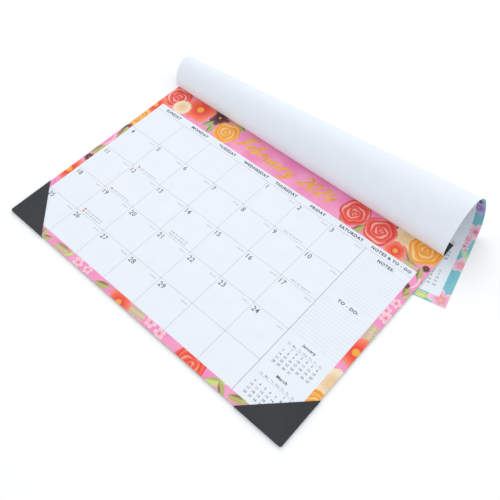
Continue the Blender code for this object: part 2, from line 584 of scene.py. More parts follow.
@dataclass(frozen=True)
class InkFinish:
    """Offset ink of lettering and rules, a little uneven in density."""

    name: str = "rule_ink"

    def build(self, groups: Groups) -> bpy.types.Material:
        """Builds the material.

        Args:
            groups: the shared shader groups.

        Returns:
            The material.
        """
        material, bench, shader = new_finish(self.name)
        place = bench.add("ShaderNodeTexCoord").outputs["Object"]
        grain = placed_group(bench, groups.paper_grain, place, Cloud_Scale=260.0)
        ink = bench.add("ShaderNodeAttribute", attribute_name="print")
        shade = bench.spread(grain.outputs["Cloud"], 0.82, 1.18)
        tint = bench.add("ShaderNodeMix", data_type="RGBA", blend_type="MULTIPLY")
        tint.inputs[0].default_value = 1.0
        bench.join(ink.outputs["Color"], tint.inputs[6])
        bench.join(shade, tint.inputs[7])
        bench.join(tint.outputs[2], shader.inputs["Base Color"])
        bench.join(bench.spread(grain.outputs["Felt"], 0.45, 0.65), shader.inputs["Roughness"])
        return material


@dataclass(frozen=True)
class FoilFinish:
    """Gold brush lettering: light and dark gold in streaks, half metallic."""

    name: str = "gold_lettering"
    light: Rgb = (248, 194, 80)
    dark: Rgb = (224, 152, 48)

    def build(self, groups: Groups) -> bpy.types.Material:
        """Builds the material.

        Args:
            groups: the shared shader groups.

        Returns:
            The material.
        """
        material, bench, shader = new_finish(self.name)
        place = bench.add("ShaderNodeTexCoord").outputs["Object"]
        grain = placed_group(bench, groups.paper_grain, place, Cloud_Scale=70.0)
        share = bench.spread(grain.outputs["Cloud"], -0.7, 1.7)
        gold = bench.mix(share, (*linear(self.light), 1), (*linear(self.dark), 1))
        bench.join(gold, shader.inputs["Base Color"])
        bench.join(bench.spread(grain.outputs["Cloud"], 0.0, 0.12), shader.inputs["Metallic"])
        bench.join(bench.spread(grain.outputs["Felt"], 0.35, 0.6), shader.inputs["Roughness"])
        add_bump(bench, shader, grain.outputs["Felt"], 0.00003, 0.5)
        return material


@dataclass(frozen=True)
class LeatheretteFinish:
    """Charcoal leatherette: pebbled grain, rubbed paler in clouds, with dust specks."""

    name: str = "charcoal_leatherette"
    base: Rgb = (43, 47, 50)
    rubbed: Rgb = (58, 62, 65)

    def build(self, groups: Groups) -> bpy.types.Material:
        """Builds the material.

        Args:
            groups: the shared shader groups.

        Returns:
            The material.
        """
        material, bench, shader = new_finish(self.name)
        place = bench.add("ShaderNodeTexCoord").outputs["Object"]
        marks = placed_group(bench, groups.scuffs, place)
        pebble = bench.add("ShaderNodeTexVoronoi", feature="DISTANCE_TO_EDGE", Scale=1100.0)
        bench.join(place, pebble.inputs["Vector"])
        warp = bench.add("ShaderNodeTexNoise", Scale=1500.0, Detail=3.0)
        bench.join(place, warp.inputs["Vector"])
        grain = bench.add("ShaderNodeMath", operation="MULTIPLY_ADD")
        bench.join(pebble.outputs["Distance"], grain.inputs[0])
        grain.inputs[1].default_value = 1.4
        bench.join(warp.outputs["Fac"], grain.inputs[2])
        rub = bench.spread(marks.outputs["Rub"], -0.6, 1.4)
        body = bench.mix(rub, (*linear(self.base), 1), (*linear(self.rubbed), 1))
        dusty = bench.spread(marks.outputs["Speck"], 0.0, 0.22)
        bench.join(bench.mix(dusty, body, (0.25, 0.25, 0.24, 1)), shader.inputs["Base Color"])
        bench.join(bench.spread(marks.outputs["Rub"], 0.5, 0.72), shader.inputs["Roughness"])
        shader.inputs["Specular IOR Level"].default_value = 0.35
        add_bump(bench, shader, grain.outputs[0], 0.00012, 0.45)
        return material


@dataclass(frozen=True)
class BoardFinish:
    """Grey chipboard: long pulp fibres, flecks, and clouds of damp."""

    name: str = "grey_chipboard"
    base: Rgb = (186, 180, 170)
    dark: Rgb = (140, 132, 120)

    def build(self, groups: Groups) -> bpy.types.Material:
        """Builds the material.

        Args:
            groups: the shared shader groups.

        Returns:
            The material.
        """
        material, bench, shader = new_finish(self.name)
        place = bench.add("ShaderNodeTexCoord").outputs["Object"]
        along = bench.add("ShaderNodeMapping")
        along.inputs["Scale"].default_value = (120.0, 900.0, 900.0)
        bench.join(place, along.inputs["Vector"])
        fibre = bench.add("ShaderNodeTexNoise", Scale=1.0, Detail=4.0, Distortion=0.8)
        bench.join(along.outputs["Vector"], fibre.inputs["Vector"])
        marks = placed_group(bench, groups.scuffs, place, Speck_Scale=420.0)
        share = bench.spread(fibre.outputs["Fac"], -0.5, 1.3)
        pulp = bench.mix(share, (*linear(self.base), 1), (*linear(self.dark), 1))
        fleck = bench.spread(marks.outputs["Speck"], 0.0, 0.5)
        bench.join(bench.mix(fleck, pulp, (0.1, 0.085, 0.07, 1)), shader.inputs["Base Color"])
        bench.join(bench.spread(marks.outputs["Rub"], 0.8, 0.98), shader.inputs["Roughness"])
        add_bump(bench, shader, fibre.outputs["Fac"], 0.00008, 0.5)
        return material


@dataclass(frozen=True)
class CompoundFinish:
    """Padding compound: a rubbery red film, brushed on in streaks."""

    name: str = "red_padding_compound"
    thin: Rgb = (214, 92, 82)
    thick: Rgb = (168, 40, 38)

    def build(self, groups: Groups) -> bpy.types.Material:
        """Builds the material.

        Args:
            groups: the shared shader groups.

        Returns:
            The material.
        """
        material, bench, shader = new_finish(self.name)
        place = bench.add("ShaderNodeTexCoord").outputs["Object"]
        marks = placed_group(bench, groups.scuffs, place, Rub_Scale=240.0)
        share = bench.spread(marks.outputs["Rub"], -0.3, 1.3)
        film = bench.mix(share, (*linear(self.thin), 1), (*linear(self.thick), 1))
        bench.join(film, shader.inputs["Base Color"])
        bench.join(bench.spread(marks.outputs["Rub"], 0.3, 0.5), shader.inputs["Roughness"])
        add_bump(bench, shader, marks.outputs["Rub"], 0.0001, 0.4)
        return material


@dataclass
class Finishes:
    """Every material of the calendar."""

    groups: Groups = field(default_factory=Groups)
    paper: bpy.types.Material = field(init=False)
    turned: bpy.types.Material = field(init=False)
    ink: bpy.types.Material = field(init=False)
    gold: bpy.types.Material = field(init=False)
    leatherette: bpy.types.Material = field(init=False)
    board: bpy.types.Material = field(init=False)
    compound: bpy.types.Material = field(init=False)
    bound_paper: bpy.types.Material = field(init=False)

    def __post_init__(self) -> None:
        """Builds the materials."""
        self.paper = PaperFinish("printed_paper").build(self.groups)
        self.turned = PaperFinish("turned_paper", 0.72, 0.03).build(self.groups)
        self.ink = InkFinish().build(self.groups)
        self.gold = FoilFinish().build(self.groups)
        self.leatherette = LeatheretteFinish().build(self.groups)
        self.board = BoardFinish().build(self.groups)
        self.compound = CompoundFinish().build(self.groups)
        self.bound_paper = BoundPaperFinish().build(self.groups)


# ---------------------------------------------------------------- painted borders

PAPER = (238, 245, 253)


@dataclass(frozen=True)
class Paint:
    """The four washes of a flower: highlights, body, shadows and heart."""

    light: Rgb
    body: Rgb
    deep: Rgb
    heart: Rgb


CORAL = Paint((255, 196, 184), (246, 104, 92), (226, 56, 52), (250, 120, 104))
SCARLET = Paint((255, 168, 140), (250, 106, 84), (232, 56, 48), (250, 184, 70))
ORANGE = Paint((255, 222, 158), (252, 182, 84), (244, 148, 44), (255, 200, 110))
CREAM = Paint((252, 240, 216), (248, 226, 194), (236, 198, 150), (240, 206, 150))
PLUM = Paint((150, 92, 100), (112, 66, 74), (78, 42, 52), (236, 190, 80))
BLUSH = Paint((255, 232, 236), (252, 202, 216), (240, 150, 180), (216, 84, 110))
ROSE_PINK = Paint((255, 226, 236), (252, 190, 212), (236, 140, 176), (250, 192, 90))
LILAC = Paint((214, 204, 240), (178, 164, 218), (132, 112, 186), (250, 180, 80))
OLIVE = Paint((214, 208, 150), (186, 182, 112), (132, 122, 72), (214, 208, 150))
BEIGE = Paint((226, 214, 172), (206, 190, 146), (168, 146, 108), (226, 214, 172))
GREEN = Paint((206, 222, 158), (160, 188, 112), (110, 146, 84), (206, 222, 158))
LIME = Paint((232, 240, 170), (206, 222, 128), (166, 190, 96), (232, 240, 170))


class Bloom(Enum):
    """What a painted motif shows."""

    ROSE = "rings of petals in a spiral"
    POPPY = "broad petals round a heart"
    ANEMONE = "narrow petals round a dot"
    MUM = "many shallow petals"
    BLOSSOM = "five parted petals"
    LEAF = "one pointed leaf"
    SPRIG = "leaves in pairs along a stalk"
    STEM = "a curved stalk"
    SPECKS = "a spray of dots"


@dataclass(frozen=True)
class Motif:
    """One painted motif, placed in millimetres from the sheet's front left corner."""

    bloom: Bloom
    x: float
    y: float
    reach: float
    paint: Paint
    turn: float = 0.0

    def cover(self, dx: Array, dy: Array) -> tuple[Array, Array]:
        """The motif's opacity and colour near its centre.

        In polar terms r is the distance over the reach and a the angle. A rose is a
        disc of wavy edge whose highlight is where the spiral 4.2 r^0.8 + a / 2 pi is
        near a whole number. A poppy, an anemone, a mum and a blossom are discs whose
        edge is a power of |cos(n a / 2)|. A leaf is the lens |b| < 0.34 (1 - a^2).

        Args:
            dx: distances across from the centre, in millimetres.
            dy: distances up.

        Returns:
            The opacity of shape (n,), and linear colours of shape (n, 3).
        """
        turn = math.radians(self.turn)
        along = (dx * math.cos(turn) + dy * math.sin(turn)) / self.reach
        across = (dy * math.cos(turn) - dx * math.sin(turn)) / self.reach
        r = np.hypot(along, across)
        a = np.arctan2(across, along)
        light, body, deep, heart = (
            linear(c)
            for c in (self.paint.light, self.paint.body, self.paint.deep, self.paint.heart)
        )
        blur = 0.6 / self.reach
        if self.bloom is Bloom.ROSE:
            edge = r / (1 + 0.05 * np.sin(5 * a + self.x) + 0.04 * np.sin(3 * a + self.y))
            spiral = 3.9 * edge**0.75 + a / (2 * math.pi) + 0.13 * np.sin(3 * a + 6 * edge)
            part = spiral % 1
            width = 0.11 + 0.15 * np.sin(2 * a + 2.3 * np.floor(spiral) + self.x)
            width = np.maximum(width, 0.005)
            line = 1 - soft_step(0.5 * width, width + 0.06, np.abs(part - 0.5))
            line *= soft_step(1.02, 0.9, edge)
            shade = blend_colours(deep, body, soft_step(0.0, 0.9, (part + 0.5) % 1))
            return 1 - soft_step(1 - blur, 1 + blur, edge), blend_colours(
                shade, light, 0.85 * line
            )
        if self.bloom in (Bloom.POPPY, Bloom.ANEMONE, Bloom.MUM, Bloom.BLOSSOM):
            petals, notch, core = {
                Bloom.POPPY: (5, 0.25, 0.22),
                Bloom.ANEMONE: (8, 0.42, 0.13),
                Bloom.MUM: (11, 0.12, 0.2),
                Bloom.BLOSSOM: (5, 0.6, 0.16),
            }[self.bloom]
            lobe = np.abs(np.cos(petals * a / 2))
            edge = r / (1 - notch + notch * lobe**0.6)
            gap = soft_step(0.0, 0.16, lobe) * soft_step(0.1, 0.5, r) + soft_step(0.5, 0.1, r)
            shade = blend_colours(deep, body, soft_step(0.05, 0.75, edge))
            shade = blend_colours(shade, light, soft_step(0.6, 1.0, edge) * 0.55)
            shade = blend_colours(shade, deep, 0.55 * (1 - np.clip(gap, 0, 1)))
            veins = 0.5 + 0.5 * np.sin(petals * 4 * a + 3 * r)
            shade = blend_colours(shade, light, 0.18 * veins * soft_step(0.2, 0.7, r))
            if self.bloom is Bloom.MUM:
                rings = 0.5 + 0.5 * np.cos(13 * r + 0.8 * np.cos(petals * a))
                shade = blend_colours(shade, deep, 0.4 * rings**3)
            dots = 0.5 + 0.5 * np.sin(30 * along) * np.sin(30 * across)
            centre = blend_colours(heart, body, 0.35 * dots)
            shade = blend_colours(shade, centre, 1 - soft_step(core * 0.8, core * 1.2, r))
            return 1 - soft_step(1 - blur, 1 + blur, edge), shade
        if self.bloom is Bloom.SPECKS:
            rng = np.random.default_rng(int(self.x * 7 + self.y))
            opacity = np.zeros_like(r)
            spots = rng.uniform(-0.9, 0.9, (2, 14))
            sizes = rng.uniform(0.05, 0.13, 14)
            for spot_x, spot_y, size in zip(*spots, sizes):
                gone = np.hypot(along - spot_x, across - spot_y)
                opacity = np.maximum(opacity, 1 - soft_step(size * 0.7, size * 1.3, gone))
            return opacity, np.broadcast_to(light, (len(r), 3))
        if self.bloom is Bloom.STEM:
            bow = np.abs(across - 0.3 * along**2 + 0.1)
            inside = 1 - soft_step(0.9, 1.0, np.abs(along))
            stem = (1 - soft_step(0.03, 0.09, bow)) * inside
            return stem, np.broadcast_to(light, (len(r), 3))
        if self.bloom is Bloom.SPRIG:
            pitch = 0.36
            step = np.round(along / pitch) * pitch
            tilt = (along - step) - 0.55 * (np.abs(across) - 0.25)
            lens = np.hypot(tilt / 0.13, (np.abs(across) - 0.28) / 0.26)
            stalk = 1 - soft_step(0.03, 0.07, np.abs(across))
            opacity = np.maximum(1 - soft_step(0.85, 1.1, lens), stalk)
            opacity *= 1 - soft_step(0.9, 1.0, np.abs(along))
            return opacity, blend_colours(body, light, soft_step(0.2, 0.9, lens))
        width = 0.36 * (1 - along**2)
        opacity = (1 - soft_step(-blur, blur, np.abs(across) - width)) * (np.abs(along) < 1)
        rib = 1 - soft_step(0.01, 0.05, np.abs(across))
        shade = blend_colours(body, deep, soft_step(0.0, 0.3, across + 0.04))
        return opacity, blend_colours(shade, light, 0.7 * rib + 0.25 * soft_step(0, 1, along))


def blend_colours(first: Array, second: Array, share: Array) -> Array:
    """Mixes two colours, or arrays of colours, by a share for each point.

    Args:
        first: the colour at share 0.
        second: the colour at share 1.
        share: the shares, of shape (n,).

    Returns:
        Colours of shape (n, 3).
    """
    return first + (second - first) * np.asarray(share)[..., None]


def february_motifs() -> tuple[Motif, ...]:
    """February's border, from the ground up.

    Returns:
        The motifs, in the order they are painted.
    """
    b = Bloom
    return (
        Motif(b.SPECKS, 36, 281, 7, LILAC),
        Motif(b.SPECKS, 352, 281, 9, BLUSH),
        Motif(b.SPECKS, 86, 259, 6, BLUSH),
        Motif(b.LEAF, 82, 262, 11, GREEN, 60),
        Motif(b.LEAF, 90, 256, 10, GREEN, 100),
        Motif(b.LEAF, 121, 284, 10, GREEN, -20),
        Motif(b.LEAF, 107, 287, 9, GREEN, 30),
        Motif(b.LEAF, 311, 253, 7, OLIVE, 130),
        Motif(b.LEAF, 336, 254, 13, OLIVE, 65),
        Motif(b.LEAF, 368, 281, 11, OLIVE, 25),
        Motif(b.ANEMONE, 87, 279, 15, PLUM, 10),
        Motif(b.ROSE, 15, 270, 20, CORAL, 0),
        Motif(b.POPPY, 56, 273, 23, SCARLET, 24),
        Motif(b.MUM, 33, 260, 13, CREAM, 0),
        Motif(b.ROSE, 112, 265, 18, ORANGE, 40),
        Motif(b.ROSE, 319, 269, 19, CORAL, 90),
        Motif(b.MUM, 385, 277, 17, CREAM, 10),
        Motif(b.ROSE, 357, 267, 20, CORAL, 200),
        Motif(b.POPPY, 386, 256, 14, SCARLET, 50),
        Motif(b.LEAF, 408, 252, 12, BEIGE, 0),
        Motif(b.LEAF, 402, 260, 8, OLIVE, 140),
        Motif(b.ROSE, 413, 279, 21, ORANGE, 150),
        Motif(b.ANEMONE, 426, 258, 5, PLUM, 0),
        Motif(b.LEAF, 424, 248, 10, OLIVE, 110),
        Motif(b.STEM, 428, 233, 11, BLUSH, 80),
        Motif(b.LEAF, 425, 221, 9, OLIVE, 100),
        Motif(b.LEAF, 430, 216, 8, BEIGE, 60),
        Motif(b.ANEMONE, 422, 226, 4, PLUM, 0),
        Motif(b.BLOSSOM, 426, 200, 6, BLUSH, 10),
        Motif(b.BLOSSOM, 423, 186, 6, BLUSH, 40),
        Motif(b.BLOSSOM, 428, 178, 7, BLUSH, 0),
        Motif(b.SPRIG, 427, 151, 13, GREEN, 95),
        Motif(b.POPPY, 428, 125, 20, SCARLET, 80),
        Motif(b.MUM, 430, 81, 19, CREAM, 0),
        Motif(b.ROSE, 428, 50, 18, ORANGE, 20),
        Motif(b.POPPY, 1, 240, 19, SCARLET, 90),
        Motif(b.ROSE, 0, 208, 18, ORANGE, 60),
        Motif(b.LEAF, 3, 186, 9, PLUM, 75),
        Motif(b.LEAF, 6, 176, 12, OLIVE, 100),
        Motif(b.STEM, 5, 156, 12, BLUSH, 95),
        Motif(b.LEAF, 4, 135, 12, OLIVE, 80),
        Motif(b.ANEMONE, 6, 118, 7, PLUM, 0),
        Motif(b.POPPY, 2, 88, 20, SCARLET, 20),
        Motif(b.LEAF, 58, 6, 9, BEIGE, 100),
        Motif(b.LEAF, 66, 3, 8, OLIVE, 20),
        Motif(b.LEAF, 93, 5, 14, BEIGE, 5),
        Motif(b.LEAF, 105, 6, 7, LIME, 60),
        Motif(b.BLOSSOM, 122, 5, 7, BLUSH, 0),
        Motif(b.BLOSSOM, 138, 6, 6, BLUSH, 30),
        Motif(b.LEAF, 166, 4, 11, OLIVE, 15),
        Motif(b.POPPY, 196, 1, 17, SCARLET, 0),
        Motif(b.SPRIG, 222, 6, 11, GREEN, 5),
        Motif(b.BLOSSOM, 242, 8, 7, BLUSH, 10),
        Motif(b.BLOSSOM, 258, 5, 7, BLUSH, 45),
        Motif(b.ROSE, 306, 0, 20, SCARLET, 15),
        Motif(b.LEAF, 340, 5, 12, LIME, 30),
        Motif(b.LEAF, 350, 4, 10, OLIVE, 140),
        Motif(b.LEAF, 370, 7, 12, OLIVE, 20),
    )


def january_motifs() -> tuple[Motif, ...]:
    """January's border.

    Returns:
        The motifs, in the order they are painted.
    """
    b = Bloom
    return (
        Motif(b.LEAF, 14, 262, 12, LIME, 40),
        Motif(b.BLOSSOM, 22, 274, 19, ROSE_PINK, 0),
        Motif(b.BLOSSOM, 60, 266, 16, BLUSH, 30),
        Motif(b.ANEMONE, 88, 278, 13, LILAC, 0),
        Motif(b.SPRIG, 112, 266, 16, LIME, -10),
        Motif(b.SPRIG, 306, 268, 16, LIME, 190),
        Motif(b.ANEMONE, 334, 266, 14, LILAC, 20),
        Motif(b.BLOSSOM, 362, 274, 18, ROSE_PINK, 15),
        Motif(b.BLOSSOM, 396, 264, 15, BLUSH, 50),
        Motif(b.ANEMONE, 420, 282, 13, PLUM, 0),
        Motif(b.BLOSSOM, 426, 238, 12, ROSE_PINK, 10),
        Motif(b.SPRIG, 427, 208, 12, LIME, 95),
        Motif(b.BLOSSOM, 424, 184, 10, BLUSH, 25),
        Motif(b.ANEMONE, 422, 157, 7, PLUM, 0),
        Motif(b.ANEMONE, 424, 145, 12, LILAC, 15),
        Motif(b.BLOSSOM, 428, 111, 10, BLUSH, 0),
        Motif(b.BLOSSOM, 423, 99, 7, ROSE_PINK, 30),
        Motif(b.BLOSSOM, 423, 88, 6, BLUSH, 50),
        Motif(b.SPRIG, 428, 76, 7, LIME, 120),
        Motif(b.BLOSSOM, 428, 61, 11, ROSE_PINK, 20),
        Motif(b.LEAF, 405, 5, 10, LIME, 15),
        Motif(b.SPRIG, 398, 6, 9, LIME, -10),
        Motif(b.BLOSSOM, 424, 8, 15, ROSE_PINK, 40),
        Motif(b.BLOSSOM, 5, 230, 12, BLUSH, 0),
        Motif(b.SPRIG, 4, 196, 12, LIME, 90),
        Motif(b.ANEMONE, 4, 150, 11, LILAC, 0),
        Motif(b.BLOSSOM, 4, 96, 13, ROSE_PINK, 30),
        Motif(b.SPRIG, 4, 62, 12, LIME, 85),
        Motif(b.BLOSSOM, 10, 8, 15, BLUSH, 10),
        Motif(b.SPRIG, 60, 5, 12, LIME, 0),
        Motif(b.BLOSSOM, 110, 5, 12, ROSE_PINK, 20),
        Motif(b.ANEMONE, 160, 5, 11, LILAC, 0),
        Motif(b.SPRIG, 210, 5, 14, LIME, 5),
        Motif(b.BLOSSOM, 262, 5, 12, BLUSH, 10),
        Motif(b.ANEMONE, 312, 6, 9, PLUM, 0),
        Motif(b.BLOSSOM, 346, 5, 11, ROSE_PINK, 0),
    )


def march_motifs() -> tuple[Motif, ...]:
    """March's border, which February hides: anemones and sprigs in the same manner.

    Returns:
        The motifs, in the order they are painted.
    """
    b = Bloom
    cycle = (
        (b.ANEMONE, LILAC),
        (b.SPRIG, LIME),
        (b.MUM, CREAM),
        (b.BLOSSOM, BLUSH),
        (b.LEAF, GREEN),
        (b.ROSE, ORANGE),
    )
    spots = [(18 + 27 * i, 268 + 6 * (i % 2), 15) for i in range(4)]
    spots += [(318 + 27 * i, 270 - 6 * (i % 2), 15) for i in range(5)]
    spots += [(4, 30 + 32 * i, 11) for i in range(7)]
    spots += [(427, 34 + 31 * i, 12) for i in range(7)]
    spots += [(34 + 33 * i, 5, 11) for i in range(12)]
    return tuple(
        Motif(*cycle[i % 6][:1], x, y, reach, cycle[i % 6][1], 37.0 * i)
        for i, (x, y, reach) in enumerate(spots)
    )


@dataclass(frozen=True)
class PageArt:
    """The painted border and the paper panel of one month's leaf."""

    month: int
    ground: Rgb
    pooled: Rgb
    motifs: tuple[Motif, ...] = ()

    def colours(self, x: Array, y: Array) -> Array:
        """The page's colours at points of the flat sheet.

        The ground is a wash between two tones. Each motif covers what is under it by
        its opacity, in order, and the white panel covers them all inside its edges.

        Args:
            x: places across the sheet in metres, 0 at its middle.
            y: places in metres, 0 at the bound edge and negative to the front.

        Returns:
            Linear colours of shape (n, 3).
        """
        mm_x, mm_y = (x + HALF_WIDTH) / MM, (y + SHEET_DEPTH) / MM
        share = 0.5 + 0.55 * wash(mm_x, mm_y, 60, self.month)
        share += 0.18 * wash(mm_x, mm_y, 9, self.month + 40)
        colours = blend_colours(linear(self.ground), linear(self.pooled), np.clip(share, 0, 1))
        for motif in self.motifs:
            dx, dy = mm_x - motif.x, mm_y - motif.y
            covered = 1.2 * motif.reach
            near = np.flatnonzero((np.abs(dx) < covered) & (np.abs(dy) < covered))
            if not len(near):
                continue
            opacity, paint = motif.cover(dx[near], dy[near])
            colours[near] += (paint - colours[near]) * opacity[:, None]
        inside = (mm_x > PANEL_LEFT / MM) & (mm_x < PANEL_RIGHT / MM)
        inside &= (mm_y > PANEL_FRONT / MM) & (mm_y < PANEL_BACK / MM)
        colours[inside] = linear(PAPER)
        return colours


# ---------------------------------------------------------------- lettering


@dataclass
class Shape:
    """A flat shape of triangles in the sheet, with its colour."""

    points: Array
    triangles: Array
    colour: Rgb
    rise: float | Array = 0.0

    @property
    def middle(self) -> Array:
        """The middle of its box."""
        return (self.points.min(0) + self.points.max(0)) / 2

    def split(self) -> "Shape":
        """The same shape with each triangle cut into four at its edges' middles.

        Returns:
            The finer shape.
        """
        tri, size = self.triangles, len(self.points)
        ends = np.sort(np.concatenate([tri[:, [0, 1]], tri[:, [1, 2]], tri[:, [2, 0]]]), 1)
        edges, where = np.unique(ends, axis=0, return_inverse=True)
        ab, bc, ca = size + where.reshape(3, -1)
        a, b, c = tri.T
        cut = [(a, ab, ca), (ab, b, bc), (ca, bc, c), (ab, bc, ca)]
        points = np.concatenate([self.points, self.points[edges].mean(1)])
        return Shape(points, np.concatenate([np.stack(t, 1) for t in cut]), self.colour)


@dataclass
class Typeface:
    """Outlines of Blender's own typeface, made flat triangles once each."""

    cache: dict[tuple[str, float], tuple[Array, Array]] = field(default_factory=dict)

    def outline(self, text: str, weight: float) -> tuple[Array, Array]:
        """The text's triangles, one unit of size, starting at the origin.

        Args:
            text: what it says.
            weight: how far the strokes are thickened on each side.

        Returns:
            Points of shape (n, 2) and triangles of shape (m, 3).
        """
        key = (text, weight)
        if key not in self.cache:
            curve = bpy.data.curves.new("lettering", "FONT")
            curve.body = text
            curve.resolution_u = 3
            curve.fill_mode = "FRONT"
            curve.offset = weight
            curve.space_character = 1.0 + 4 * weight
            obj = bpy.data.objects.new("lettering", curve)
            bpy.context.scene.collection.objects.link(obj)
            bpy.context.view_layer.update()
            made = obj.evaluated_get(bpy.context.evaluated_depsgraph_get()).to_mesh()
            made.calc_loop_triangles()
            points = np.zeros(len(made.vertices) * 3, np.float32)
            made.vertices.foreach_get("co", points)
            faces = np.zeros(len(made.loop_triangles) * 3, np.int32)
            made.loop_triangles.foreach_get("vertices", faces)
            flat = points.reshape(-1, 3)[:, :2].astype(float)
            self.cache[key] = (flat, faces.reshape(-1, 3).copy())
            bpy.data.objects.remove(obj)
            bpy.data.curves.remove(curve)
        return self.cache[key]

    def set_text(
        self,
        text: str,
        x: float,
        y: float,
        height: float,
        colour: Rgb,
        weight: float = 0.012,
        centred: bool = False,
        stretch: float = 1.0,
    ) -> Shape:
        """Sets a line of text in the sheet.

        Args:
            text: what it says.
            x: its left, or its middle where centred, in metres.
            y: its foot.
            height: the height of its capitals.
            colour: its ink.
            weight: how far its strokes are thickened.
            centred: whether x is its middle.
            stretch: how much wider than drawn it is.

        Returns:
            The shape.
        """
        points, faces = self.outline(text, weight)
        capital = np.ptp(self.outline("H", weight)[0][:, 1])
        scale = height / capital
        placed = points * [scale * stretch, scale]
        left = placed[:, 0].min()
        placed[:, 0] += x - (left + np.ptp(placed[:, 0]) / 2 if centred else left)
        placed[:, 1] += y
        return Shape(placed, faces, colour)


DARK_INK = (72, 72, 76)
DATE_INK = (100, 102, 108)
RULE_INK = (200, 205, 212)
FINE_INK = (221, 226, 233)
GREY_INK = (182, 186, 191)
SMALL_INK = (126, 130, 136)
DIVIDER_INK = (170, 175, 182)
NOTE_INK = (192, 197, 195)
RED_INK = (232, 88, 84)

# A brush script: the strokes of each letter as points (across, up, half width), in
# units of a small letter's height
SCRIPT: dict[str, tuple[tuple[tuple[float, float, float], ...], ...]] = {
    "F": (
        ((0.05, 1.55, 0.05), (0.5, 1.95, 0.1), (1.1, 1.95, 0.11), (1.65, 2.1, 0.04)),
        ((1.02, 1.95, 0.06), (0.75, 1.2, 0.13), (0.5, 0.3, 0.13), (0.1, -0.35, 0.05)),
        ((0.35, 0.95, 0.04), (0.8, 1.08, 0.09), (1.3, 1.18, 0.03)),
    ),
    "e": (
        ((0.0, 0.35, 0.04), (0.5, 0.6, 0.06), (0.55, 0.95, 0.07), (0.25, 0.85, 0.1),
         (0.12, 0.4, 0.12), (0.35, 0.05, 0.09), (0.85, 0.35, 0.03)),
    ),
    "b": (
        ((0.0, 0.35, 0.03), (0.45, 1.2, 0.05), (0.55, 1.9, 0.06), (0.35, 1.75, 0.08),
         (0.15, 0.9, 0.12), (0.15, 0.2, 0.12), (0.4, 0.02, 0.09), (0.62, 0.45, 0.08),
         (0.45, 0.8, 0.05), (0.85, 0.62, 0.03)),
    ),
    "r": (
        ((0.0, 0.35, 0.03), (0.3, 0.95, 0.06), (0.28, 0.5, 0.11), (0.15, 0.0, 0.08)),
        ((0.22, 0.5, 0.04), (0.45, 0.88, 0.07), (0.72, 0.92, 0.09), (0.8, 0.7, 0.03)),
    ),
    "u": (
        ((0.0, 0.4, 0.03), (0.25, 0.95, 0.07), (0.12, 0.35, 0.12), (0.3, 0.02, 0.09),
         (0.65, 0.5, 0.05), (0.78, 0.95, 0.07), (0.65, 0.3, 0.12), (0.8, 0.02, 0.07),
         (1.1, 0.35, 0.03)),
    ),
    "a": (
        ((0.68, 0.8, 0.05), (0.38, 0.95, 0.08), (0.1, 0.45, 0.12), (0.25, 0.05, 0.09),
         (0.55, 0.4, 0.05), (0.75, 0.95, 0.06), (0.65, 0.35, 0.12), (0.78, 0.02, 0.07),
         (1.08, 0.35, 0.03)),
    ),
    "y": (
        ((0.0, 0.4, 0.03), (0.25, 0.95, 0.07), (0.15, 0.35, 0.11), (0.35, 0.05, 0.08),
         (0.7, 0.55, 0.05), (0.82, 0.95, 0.06), (0.62, 0.1, 0.11), (0.35, -0.65, 0.1),
         (0.0, -0.85, 0.06), (0.1, -0.45, 0.04), (0.95, 0.25, 0.03)),
    ),
    "J": (
        ((0.35, 1.75, 0.04), (0.8, 1.98, 0.1), (1.45, 2.0, 0.05)),
        ((1.05, 1.95, 0.07), (0.9, 1.0, 0.13), (0.65, 0.1, 0.12), (0.25, -0.3, 0.09),
         (0.0, 0.1, 0.05), (0.5, 0.35, 0.03)),
    ),
    "n": (
        ((0.0, 0.4, 0.03), (0.25, 0.95, 0.06), (0.22, 0.4, 0.11), (0.12, 0.0, 0.08)),
        ((0.18, 0.4, 0.04), (0.55, 0.92, 0.07), (0.68, 0.5, 0.11), (0.68, 0.05, 0.08),
         (1.0, 0.3, 0.03)),
    ),
    "M": (
        ((0.0, -0.1, 0.05), (0.35, 0.9, 0.1), (0.65, 1.95, 0.08)),
        ((0.65, 1.9, 0.06), (0.75, 1.0, 0.12), (0.85, 0.5, 0.08)),
        ((0.85, 0.5, 0.05), (1.15, 1.3, 0.08), (1.45, 1.95, 0.07)),
        ((1.45, 1.9, 0.06), (1.45, 0.9, 0.13), (1.55, 0.0, 0.07), (1.85, 0.3, 0.03)),
    ),
    "c": (
        ((0.62, 0.75, 0.06), (0.38, 0.95, 0.08), (0.12, 0.5, 0.12), (0.3, 0.04, 0.09),
         (0.8, 0.35, 0.03)),
    ),
    "h": (
        ((0.0, 0.4, 0.03), (0.5, 1.6, 0.05), (0.4, 1.7, 0.07), (0.22, 0.8, 0.12),
         (0.12, 0.0, 0.08)),
        ((0.18, 0.4, 0.04), (0.55, 0.92, 0.07), (0.66, 0.5, 0.11), (0.68, 0.05, 0.08),
         (1.0, 0.3, 0.03)),
    ),
    "2": (
        ((0.1, 1.35, 0.05), (0.5, 1.75, 0.09), (0.85, 1.4, 0.11), (0.5, 0.7, 0.09),
         (0.0, 0.05, 0.06), (0.5, 0.12, 0.11), (1.05, 0.15, 0.05)),
    ),
    "0": (
        ((0.75, 1.6, 0.05), (0.35, 1.5, 0.09), (0.1, 0.7, 0.12), (0.35, 0.02, 0.09),
         (0.8, 0.7, 0.1), (0.9, 1.45, 0.08), (0.6, 1.7, 0.05)),
    ),
    "4": (
        ((0.45, 1.7, 0.06), (0.2, 1.1, 0.1), (0.05, 0.65, 0.07), (0.5, 0.6, 0.08),
         (1.05, 0.72, 0.04)),
        ((0.9, 1.35, 0.06), (0.7, 0.6, 0.12), (0.5, -0.2, 0.06)),
    ),
}
